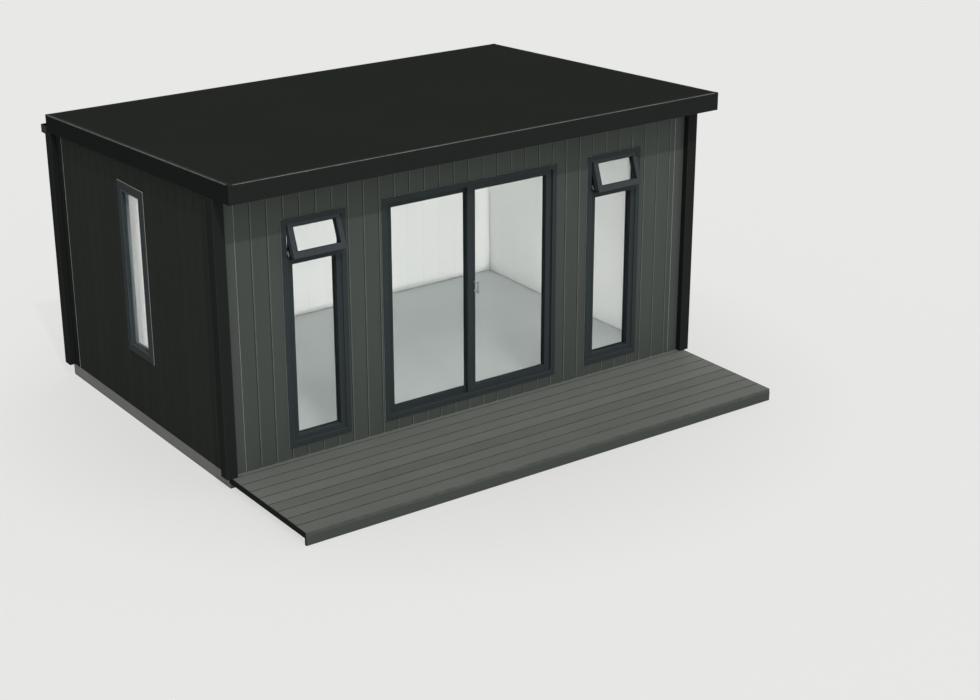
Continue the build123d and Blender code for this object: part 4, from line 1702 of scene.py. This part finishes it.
@dataclass
class FrontWindow(Glazed):
    """A tall front window: fixed glass below, and a top vent standing open on its stays."""

    name: str = "window_left"
    face: float = 0.046
    depth: float = 0.084
    bead: float = 0.050
    bead_back: float = 0.010
    glass_depth: Span = (0.060, 0.084)
    transom: Span = (1.805, 1.862)
    hinge_z: float = 2.1457
    vent_angle: float = 20.0
    vent_half: float = 0.245
    vent_height: float = 0.2817
    vent_bars: Edges = (0.049, 0.043, 0.054, 0.026)
    vent_depth: float = 0.046
    vent_glass: Span = (0.028, 0.044)
    vent_step: float = 0.007
    vent_back: float = 0.018
    # Painted shade: the black plates at the open vent's sides, how thick and how far in.
    guard: float = 0.002
    shade_plate_reach: float = 0.030

    def __post_init__(self) -> None:
        """Reads where the window stands."""
        low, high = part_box(f"{self.name}_frame")
        self.centre = (low.x + high.x) / 2
        self.front = low.y
        half = (high.x - low.x) / 2
        self.outline = Outline(-half, half, low.z, high.z)
        turn = math.radians(self.vent_angle)
        self.vent_turn = (math.sin(turn), math.cos(turn))

    def place(self, a: float, d: float, b: float) -> Vector:
        """A point on the window: to the right of its middle, into the wall, and its height."""
        return Vector((self.centre + a, self.front + d, b))

    def build_frame(self) -> None:
        """Builds the frame with its glazing beads and the bar under the vent, and the fixed glass."""
        shape = Shape()
        bars = (self.face,) * 4
        section_of = bar_section((0.0, self.depth), 0.003, 0.002, 0.003)
        shape.ring(self.place, self.outline, bars, section_of)
        low, high = self.transom
        lower = self.outline.inside(bars)._replace(top=low)
        back = self.bead_back
        bead = [
            Corner(0.0, back), Corner(0.0, self.depth), Corner(0.0, self.depth, True, 0.002),
            Corner(0.0, back, True, 0.0025), Corner(-0.030, back, True),
            Corner(-0.0305, back + 0.001, True), Corner(-0.0325, back + 0.001, True),
            Corner(-0.033, back, True)]
        bead_bars = (self.bead, self.bead, self.bead, 0.0)
        shape.ring(self.place, lower, bead_bars, bead, open_top=True)
        left, right = lower.left, lower.right
        shape.placed_block(self.place, (left, right, low, high), (0.0, self.depth), 0.003)
        shape.placed_block(
            self.place, (left + 0.006, right - 0.006, high - 0.002, high + 0.003), (0.050, 0.058),
            0.001)
        self.add(shape, f"{self.name}_surround", FRAME_GREY, f"{self.name}_frame")
        pane = self.outline.inside((self.face + self.bead,) * 4)._replace(top=low)
        self.glaze(self.name, self.place, pane, self.glass_depth, f"{self.name}_glass")

    def vent_place(self, a: float, d: float, b: float) -> Vector:
        """Puts a point on the open vent.

        Args:
            a: how far it lies to the right.
            d: how far into the vent.
            b: how far up along it from the hinge.

        Returns:
            The point.
        """
        sine, cosine = self.vent_turn
        y, z = self.front + b * sine + d * cosine, self.hinge_z + b * cosine - d * sine
        return Vector((self.centre + a, y, z))

    def build_vent(self) -> None:
        """Builds the open vent with its glass."""
        half, back, step = self.vent_half, self.vent_depth, self.vent_step
        outline = Outline(-half, half, -self.vent_height, 0.0)
        sash = Shape()
        sash.ring(self.vent_place, outline, self.vent_bars, [
            Corner(0.0, 0.0, radius=0.004), Corner(0.0, back - 0.016), Corner(0.004, back - 0.014),
            Corner(0.004, back - 0.008), Corner(0.0, back - 0.006), Corner(0.0, back),
            Corner(step, back), Corner(step, back + self.vent_back),
            Corner(0.0, back + self.vent_back, True), Corner(0.0, 0.0, True, 0.002)])
        self.add(sash, f"{self.name}_sash", SASH_GREY_PAINTED_LIGHTER, f"{self.name}_vent")
        cover = Shape()
        along = (-half, half, self.hinge_z - 0.005, self.hinge_z + 0.004)
        cover.placed_block(self.place, along, (-0.003, 0.003), 0.001)
        self.add(cover, f"{self.name}_hinge_cover", SASH_GREY_PAINTED_LIGHTER)
        self.build_guards()
        pane = outline.inside(self.vent_bars)
        self.glaze(f"{self.name}_vent", self.vent_place, pane, self.vent_glass)

    def build_guards(self) -> None:
        """Builds the thin black plates that close the open vent's sides, as painted shade for the gaps
        there.
        """
        back = self.vent_depth + 0.0005
        head = self.vent_place(0.0, back + self.vent_back, -0.012)
        foot = self.vent_place(0.0, back, 0.006 - self.vent_height)
        inside = self.front + self.shade_plate_reach
        corners = [(head.y, head.z), (foot.y, foot.z)]
        corners += [(inside, self.transom[1] + 0.004), (inside, head.z)]
        reach = self.vent_half - self.vent_step - 0.001
        shade_plates = Shape()
        for end in (-1, 1):
            shade_plates.sweep([
                [Vector((self.centre + x, y, z)) for y, z in corners]
                for x in mirrored(end, reach, reach - self.guard)])
        self.add(shade_plates, f"{self.name}_side_guards", GASKET, smooth=False)

    def build(self) -> None:
        """Builds the whole window."""
        self.build_frame()
        self.build_vent()


@dataclass
class VentStays(Assembly):
    """The hinged flat bars that hold the vents open, with their rivets."""

    windows: Sequence[FrontWindow]
    half: float = 0.254
    bar: float = 0.004
    width: float = 0.012
    block: float = 0.009
    pivot: Span = (-1.5994, 1.8822)
    elbow: Span = (-1.5624, 1.8642)
    root: Span = (-1.513, 1.9567)
    rivet: float = 0.0035
    sleeve: Span = (0.3, 0.6)
    sleeve_rise: float = 0.0012
    chamfer: float = 0.0008
    round_steps: int = 6
    edge: float = 0.5

    def capsule(self, shape: Shape, ends: Sequence[Span], x: Span, half: float) -> None:
        """Adds a flat bar with round ends.

        Args:
            shape: where it is added.
            ends: the Y and Z of its two ends.
            x: where it lies along X.
            half: half its width.
        """
        start, stop = (Vector(end) for end in ends)
        along = (stop - start).normalized()
        turn = math.atan2(along.y, along.x)
        outline = []
        for centre, begin in ((stop, turn - math.pi / 2), (start, turn + math.pi / 2)):
            for step in range(self.round_steps + 1):
                angle = begin + math.pi * step / self.round_steps
                outline.append(centre + half * Vector((math.cos(angle), math.sin(angle))))
        middle = (start + stop) / 2
        rings = []
        for place, inset in chamfered(*x, self.chamfer):
            ring = []
            for spot in outline:
                pull = (middle - spot).normalized() * inset
                ring.append(Vector((place, spot.x + pull.x, spot.y + pull.y)))
            rings.append(ring)
        shape.sweep(rings, edges=[self.edge] * len(outline))

    def build(self) -> None:
        """Builds the stays of every vent."""
        bars, blocks, sleeves = Shape(), Shape(), Shape()
        elbow, root = Vector(self.elbow), Vector(self.root)
        clasp = [tuple(elbow.lerp(root, share)) for share in self.sleeve]
        rise, half = self.sleeve_rise, self.width / 2
        for window in self.windows:
            for end in (-1, 1):
                near, inner, outer = (
                    window.centre + end * reach
                    for reach in (self.half - self.block, self.half - self.bar, self.half))
                low, high = sorted((inner, outer))
                self.capsule(bars, (self.elbow, self.root), (low, high), half)
                self.capsule(sleeves, clasp, (low - rise, high + rise), half + rise)
                self.capsule(blocks, (self.pivot, self.elbow), sorted((near, inner)), half)
                for spot, first, last in (
                    (self.pivot, inner, outer), (self.elbow, near - end * 0.001, near),
                    (self.root, inner - end * 0.0015, inner)):
                    bars.tube(Vector((first, *spot)), Vector((last, *spot)), self.rivet)
        self.add(bars, "vent_stay_bars", DARK_METAL, "vent_stays")
        self.add(sleeves, "vent_stay_sleeves", STEEL)
        self.add(blocks, "vent_stay_blocks", DARK_METAL)


@dataclass
class SideWindow(Glazed):
    """A tall fixed window in a side wall."""

    side: Side = Side.LEFT
    face: float = 0.065
    depth: float = 0.074
    bead: float = 0.012
    glass_depth: Span = (0.036, 0.074)

    def build(self) -> None:
        """Builds the frame and its glass."""
        name = f"side_window_{self.side.value}"
        low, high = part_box(f"{name}_frame")
        along = mirrored(-1 if self.side is Side.LEFT else 1, low.y, high.y)
        place = wall_place(self.side, max(abs(low.x), abs(high.x)))
        outline = Outline(*along, low.z, high.z)
        bars = (self.face,) * 4
        shape = Shape()
        shape.ring(place, outline, bars, bar_section((0.0, self.depth), 0.0035, 0.002))
        self.add(shape, f"{name}_surround", SIDE_FRAME_PAINTED_DARKER, f"{name}_frame")
        pane = outline.inside(bars)
        bead = Shape()
        profile = bar_section((0.0005, self.glass_depth[0] - 0.0005), inner=0.0015)
        bead.ring(place, pane, (self.bead,) * 4, profile)
        self.add(bead, f"{name}_bead", SIDE_BEAD_PAINTED_LIGHTER)
        self.glaze(name, place, pane, self.glass_depth, f"{name}_glass", spacer=SIDE_SPACER)


@dataclass(frozen=True)
class DoorPanel:
    """A panel of the door: its outer edge, its bars, how deep it and its glass lie, its body."""

    name: str
    outline: Outline
    bars: Edges
    depth: Span
    glass: Span
    body: Body


@dataclass
class PatioDoor(Glazed):
    """The sliding patio door: frame, fixed panel, sliding panel, handle and runners."""

    face: float = 0.046
    depth: float = 0.110
    fixed: DoorPanel = DoorPanel(
        "door_fixed", Outline(-0.861, 0.039, 0.260, 2.146), (0.078, 0.078, 0.050, 0.058),
        (0.054, 0.088), (0.066, 0.080), Body.BUILDING)
    sliding: DoorPanel = DoorPanel(
        "door_sliding", Outline(-0.039, 0.852, 0.266, 2.140), (0.078, 0.072, 0.063, 0.038),
        (0.015, 0.049), (0.027, 0.041), Body.SLIDING_DOOR)
    bead: float = 0.020
    bead_drop: float = 0.001
    seal: float = 0.004
    seal_depth: Span = (0.016, 0.048)
    # Painted shade: the width of the black strip beside each panel's right stile.
    dark_strip: float = 0.015
    rib: float = 0.002
    rib_heights: Span = (0.009, 0.003)
    rib_depths: Span = (0.008, 0.0505)
    grip_depth: float = 0.012
    grip_radius: float = 0.004
    post_half: float = 0.0035
    post_reach: float = 0.040
    rose: Point = (0.0055, 0.008, 0.0015)

    def __post_init__(self) -> None:
        """Reads where the door stands."""
        low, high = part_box("door_frame")
        self.outline = Outline(low.x, high.x, low.z, high.z)
        self.place = wall_place(Side.FRONT, -low.y)

    def build_frame(self) -> None:
        """Builds the frame with its track ribs."""
        shape = Shape()
        bars = (self.face,) * 4
        section_of = bar_section((0.0, self.depth), 0.003, 0.002, 0.003)
        shape.ring(self.place, self.outline, bars, section_of)
        left, right, bottom, top = self.outline.inside(bars)
        for start, height in zip(self.rib_depths, self.rib_heights):
            shape.placed_block(
                self.place, (left + 0.002, right - 0.002, bottom - 0.001, bottom + height),
                (start, start + self.rib), 0.0006)
        self.add(shape, "door_surround", FRAME_GREY, "door_frame")
        seal = Shape()
        along = (right - self.seal, right - CLEARANCE, bottom + 0.006, top - 0.006)
        seal.placed_block(self.place, along, self.seal_depth, 0.001)
        self.add(seal, "door_jamb_seal", FRAME_GREY)

    def build_panel(self, panel: DoorPanel) -> None:
        """Builds a panel and its glass.

        Args:
            panel: which panel.
        """
        name, body = panel.name, panel.body
        (front, back), sunk, bead = panel.depth, panel.depth[0] + self.bead_drop, self.bead
        shape = Shape()
        shape.ring(self.place, panel.outline, panel.bars, [
            Corner(0.0, front, radius=0.003), Corner(0.0, back, radius=0.002),
            Corner(0.0, back, True, 0.002), Corner(0.0, front, True, 0.0015),
            Corner(-bead + 0.002, front, True), Corner(-bead + 0.0015, sunk, True),
            Corner(-bead, sunk, True), Corner(-bead - 0.0005, front, True)])
        self.add(shape, f"{name}_frame", FRAME_GREY, f"{name}_panel", body=body)
        pane = panel.outline.inside(panel.bars)
        self.glaze(name, self.place, pane, panel.glass, f"{name}_glass", body=body)
        # Painted shade: a black strip along the right stile's reveal stands in for the shade there.
        strip = Shape()
        start, stop = pane.right + 0.0005, pane.right + self.dark_strip
        strip.placed_block(
            self.place, (start, stop, pane.bottom - 0.004, pane.top + 0.004),
            (front - 0.0006, front + 0.002), 0.0005)
        self.add(strip, f"{name}_stile_seal", GASKET, body=body)

    def build_handle(self) -> None:
        """Builds the pull handle and dresses the runners."""
        low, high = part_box("door_handle")
        grip_back = low.y + self.grip_depth
        grip = Shape()
        grip.block(low, (high.x, grip_back, high.z), self.grip_radius)
        self.add(grip, "door_handle_grip", HANDLE_NICKEL, "door_handle", body=Body.SLIDING_DOOR)
        middle = (low + high) / 2
        x, half = middle.x, self.post_half
        half_x, half_z, thick = self.rose
        posts = Shape()
        for end in (-1, 1):
            z = middle.z + end * self.post_reach
            posts.block((x - half, grip_back, z - half), (x + half, high.y, z + half), 0.0012)
            posts.block(
                (x - half_x, high.y - thick, z - half_z), (x + half_x, high.y, z + half_z), 0.0006)
        self.add(posts, "door_handle_posts", POST_NICKEL, body=Body.SLIDING_DOOR)
        self.carried("door_runners", RUNNER_NYLON)

    def build(self) -> None:
        """Builds the whole door."""
        self.build_frame()
        self.build_panel(self.fixed)
        self.build_panel(self.sliding)
        self.build_handle()


# ---- Deck ----


@dataclass
class Deck(Assembly):
    """The low front deck: boards along the wall, a nosing and the joists under them."""

    first_joint: float = 1.570
    pitch: float = 0.146
    gap: float = 0.004
    edge_radius: float = 0.003
    nose_radius: float = 0.009
    nose_steps: int = 5
    nose_chamfer: float = 0.002
    strip: float = 0.003
    strip_radius: float = 0.0008
    rail_width: float = 0.024
    rail_height: float = 0.028
    # Each board's tone, from the wall outwards: besides their own small differences, the boards nearest
    # the wall are painted lighter to offset the shade that falls on them there.
    tones: tuple[float, ...] = (0.26, 0.23, 0.19, 0.18, 0.20, -0.01, 0.08, -0.01, -0.02)
    edge: float = 0.6
    joist: float = 0.045
    joists: int = 9
    joist_spread: float = 0.08

    def build_boards(self) -> None:
        """Builds the boards, from the wall outwards."""
        low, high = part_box("deck_boards")
        left, right = low.x + self.strip, high.x - self.strip
        shape = Shape()
        back = high.y
        for index, tone in enumerate(self.tones[:-1]):
            joint = -self.first_joint - index * self.pitch
            shape.block(
                (left, joint + self.gap / 2, low.z), (right, back, high.z), self.edge_radius, tone)
            back = joint - self.gap / 2
        self.nosed(shape, low, high, back)
        self.add(shape, "deck_planks", DECKING, "deck_boards")

    def build_ends(self) -> None:
        """Builds the strips that close the boards' ends, and the black rails under them, which paint
        the shade beneath the deck's ends.
        """
        low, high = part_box("deck_boards")
        strips, rails = Shape(), Shape()
        for x in (low.x, high.x - self.strip):
            for start, stop in (
                ((low.y + self.nose_radius, low.z), (high.y, high.z - 0.001)),
                ((low.y + 0.002, 0.001), (low.y + 0.024, low.z - 0.0005))):
                strips.block((x, *start), (x + self.strip, *stop), self.strip_radius)
        for x in (low.x + 0.001, high.x - 0.001 - self.rail_width):
            rails.block(
                (x, low.y + 0.025, low.z - self.rail_height),
                (x + self.rail_width, high.y - 0.001, low.z - 0.0003), 0.001)
        self.add(strips, "deck_end_strips", TRIM_BLACK)
        self.add(rails, "deck_end_rails", TRIM_BLACK)

    def nosed(self, shape: Shape, low: Vector, high: Vector, back: float) -> None:
        """Adds the front board, whose upper front edge is well rounded.

        Args:
            shape: where it is added.
            low: the boards' lowest corner.
            high: the boards' highest corner.
            back: where the board's back is.
        """
        radius, soft = self.nose_radius, self.edge_radius
        plan = [(low.y, low.z), (back, low.z), (back, high.z - soft), (back - soft, high.z)]
        for step in range(self.nose_steps + 1):
            angle = math.pi / 2 * step / self.nose_steps
            y = low.y + radius - radius * math.sin(angle)
            plan.append((y, high.z - radius + radius * math.cos(angle)))
        middle = Vector(((low.y + back) / 2, (low.z + high.z) / 2))
        rings = []
        for x, inset in chamfered(low.x + self.strip, high.x - self.strip, self.nose_chamfer):
            ring = []
            for y, z in plan:
                away = (y - middle.x, z - middle.y)
                pull = 1 - inset / max(abs(away[0]), abs(away[1]))
                ring.append(Vector((x, middle.x + away[0] * pull, middle.y + away[1] * pull)))
            rings.append(ring)
        # The nose's faces are marked as edges, so the decking's edge colour paints shade on them.
        edge_marked = self.edge
        shape.sweep(rings, edges=[0.0, 0.0, edge_marked, 0.0, *[edge_marked] * (self.nose_steps + 1)])

    def build_under(self) -> None:
        """Builds the nosing and the joists."""
        low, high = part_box("deck_nosing")
        nosing = Shape()
        nosing.block((low.x + self.strip, low.y, low.z), (high.x - self.strip, high.y, high.z), 0.003)
        self.add(nosing, "deck_front_board", NOSING, "deck_nosing")

        low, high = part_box("deck_joists")
        rng = random.Random("joists")
        step = (high.x - low.x - self.joist) / (self.joists - 1)
        joists = Shape()
        for index in range(self.joists):
            x = low.x + index * step
            tone = rng.uniform(-self.joist_spread, self.joist_spread)
            joists.block((x, low.y, low.z), (x + self.joist, high.y, high.z), 0.0025, tone)
        self.add(joists, "deck_bearers", JOIST_TIMBER, "deck_joists")

    def build(self) -> None:
        """Builds the whole deck."""
        self.build_boards()
        self.build_ends()
        self.build_under()


# ---- Studio ----


@dataclass(frozen=True)
class RoomLamp:
    """A soft lamp in the room: where it is, where it aims, its size, strength and spread."""

    name: str
    place: Point
    aim: Point
    size: Span
    energy: float
    spread: float = 4.0


@dataclass
class Studio:
    """The floor, the lamps, the world and the camera."""

    backdrop: Colour = (0.807, 0.807, 0.791)
    floor_colour: Colour = (0.70, 0.70, 0.69)
    floor_half: float = 60.0
    shadow_share: float = 0.17
    sky: float = 0.87
    sky_slant: float = 0.5
    # A painted shadow on the floor round the building: its middle, where it fades out, where it is
    # full, and how much it darkens.
    painted_shadow_centre: Point = (0.1, -0.53, 0.0)
    painted_shadow_edge: float = 4.02
    painted_shadow_core: float = 2.0
    painted_shadow_depth: float = 0.125
    sun_strength: float = 1.14
    sun_from: Point = (-0.160, -0.606, 0.779)
    sun_angle: float = 1.2
    sun_reach: float = 20.0
    camera_place: Point = (-8.77507641, -13.94763358, 6.71662314)
    camera_turn: Point = (68.283620, 0.0, -35.806331)
    camera_reach: float = 400.0
    lens: float = 68.968544
    sensor: float = 36.0
    room_lamps: tuple[RoomLamp, ...] = (
        RoomLamp("rear_wall", (0.0, -1.36, 1.25), (0.0, 1.0, 0.0), (4.5, 2.2), 21.0),
        RoomLamp("right_wall", (-2.25, 0.0, 1.25), (1.0, 0.0, 0.0), (2.7, 2.2), 3.6),
        RoomLamp("right_wall_foot", (-2.25, -0.5, 0.75), (1.0, 0.0, 0.0), (1.6, 1.2), 2.9, 25.0),
        RoomLamp("floor", (0.0, 0.0, 2.36), (0.0, 0.0, -1.0), (4.5, 2.7), 19.2),
        RoomLamp("reveal", (-1.89, -0.9, 1.43), (-0.42, 1.13, 0.0), (0.13, 1.6), 1.6))

    def seen_directly(self, graph: Graph) -> Socket:
        """Marks the rays that show the background itself.

        Args:
            graph: where the nodes are placed.

        Returns:
            The mask, 1 for such rays.
        """
        path = graph.node("ShaderNodeLightPath").outputs
        first = graph.maths("MAXIMUM", path["Is Camera Ray"], path["Is Glossy Ray"])
        return graph.maths("MAXIMUM", first, path["Is Transmission Ray"])

    def build_world(self) -> None:
        """Builds the soft white surroundings."""
        world = bpy.data.worlds.new("studio_surroundings")
        bpy.context.scene.world = world
        world.use_nodes = True
        graph, nodes = Graph(world.node_tree), world.node_tree.nodes
        soft = nodes["Background"]
        soft.inputs["Color"].default_value = (1.0, 1.0, 1.0, 1.0)
        way = graph.part(graph.node("ShaderNodeTexCoord").outputs["Generated"], "X")
        ends = (self.sky * (1.0 - self.sky_slant), self.sky * (1.0 + self.sky_slant))
        graph.feed(soft.inputs["Strength"], graph.remap(way, -1.0, 1.0, ends))
        shown = graph.node("ShaderNodeBackground", {"Color": self.backdrop})
        both = graph.mix_shaders(self.seen_directly(graph), soft.outputs[0], shown.outputs[0])
        graph.feed(nodes["World Output"].inputs["Surface"], both)

    def build_floor(self) -> None:
        """Builds the pale floor, which keeps a share of the real soft shadow and has a painted shadow
        round the building.
        """
        ends = (-self.floor_half, self.floor_half)
        shape = Shape()
        shape.face(shape.points(Vector((x, y, 0.0)) for x, y in around(ends, ends)))
        floor = shape.object("studio_floor", smooth=False)
        canvas = Canvas("studio_floor")
        graph = canvas.graph
        canvas.set(base_color=self.floor_colour, roughness=1.0, specular_ior_level=0.0)
        # Painted shadow: what the camera sees of the floor darkens towards the building.
        reach = graph.vector("DISTANCE", canvas.place, self.painted_shadow_centre)["Value"]
        painted_shadow = graph.remap(reach, self.painted_shadow_core, self.painted_shadow_edge, (1.0, 0.0))
        shaded = tuple(part * (1.0 - self.painted_shadow_depth) for part in self.backdrop)
        glow = graph.node("ShaderNodeEmission", {"Color": graph.mix(painted_shadow, self.backdrop, shaded)})
        share = graph.maths("MULTIPLY", self.seen_directly(graph), 1.0 - self.shadow_share)
        both = graph.mix_shaders(share, canvas.shader.outputs[0], glow.outputs[0])
        graph.feed(canvas.output.inputs["Surface"], both)
        floor.data.materials.append(canvas.material)

    def lamp(self, name: str, kind: str, place: Vector, aim: Vector, energy: float) -> bpy.types.Object:
        """Adds a lamp.

        Args:
            name: the lamp's name.
            kind: AREA or SUN.
            place: where it stands.
            aim: which way its light goes.
            energy: its strength.

        Returns:
            The lamp's object.
        """
        data = bpy.data.lights.new(name, kind)
        data.energy = energy
        made = bpy.data.objects.new(name, data)
        made.location = place
        made.rotation_euler = aim.to_track_quat("-Z", "Y").to_euler()
        bpy.context.scene.collection.objects.link(made)
        return made

    def build_lamps(self) -> None:
        """Builds the sun and the room's soft lamps, which aren't themselves seen."""
        towards = Vector(self.sun_from).normalized()
        sun = self.lamp("studio_sun", "SUN", towards * self.sun_reach, -towards, self.sun_strength)
        sun.data.angle = math.radians(self.sun_angle)
        for lamp in self.room_lamps:
            made = self.lamp(
                f"{lamp.name}_lamp", "AREA", Vector(lamp.place), Vector(lamp.aim), lamp.energy)
            made.data.shape = "RECTANGLE"
            made.data.size, made.data.size_y = lamp.size
            made.data.spread = math.radians(lamp.spread)
            for ray in ("camera", "glossy", "transmission"):
                setattr(made, f"visible_{ray}", False)

    def build_camera(self) -> None:
        """Builds the camera."""
        data = bpy.data.cameras.new("main_camera")
        data.lens = self.lens
        data.sensor_width = self.sensor
        data.sensor_fit = "HORIZONTAL"
        data.clip_end = self.camera_reach
        camera = bpy.data.objects.new("main_camera", data)
        camera.location = self.camera_place
        camera.rotation_euler = [math.radians(turn) for turn in self.camera_turn]
        bpy.context.scene.collection.objects.link(camera)
        bpy.context.scene.camera = camera

    def build(self) -> None:
        """Builds the whole studio."""
        bpy.context.scene.view_settings.view_transform = "Standard"
        self.build_camera()
        self.build_world()
        self.build_floor()
        self.build_lamps()
        LOG.info("studio ready")


def main() -> None:
    """Builds the studio and the whole pod, piece by piece."""
    logging.basicConfig(level=logging.INFO, format="%(name)s: %(message)s")
    Studio().build()
    shop = Workshop()
    plane = RoofPlane.read(Roof.trim_height)
    windows = [FrontWindow(shop, name=f"window_{side}") for side in ("left", "right")]
    for assembly in (
        Base(shop), Walls(shop, plane), Roof(shop, plane), Rainwater(shop), *windows,
        VentStays(shop, windows), SideWindow(shop, side=Side.LEFT), SideWindow(shop, side=Side.RIGHT),
        PatioDoor(shop), Deck(shop)):
        assembly.build()
    LOG.info("%d pieces, %d faces", shop.count, shop.faces)


if __name__ == "__main__":
    main()
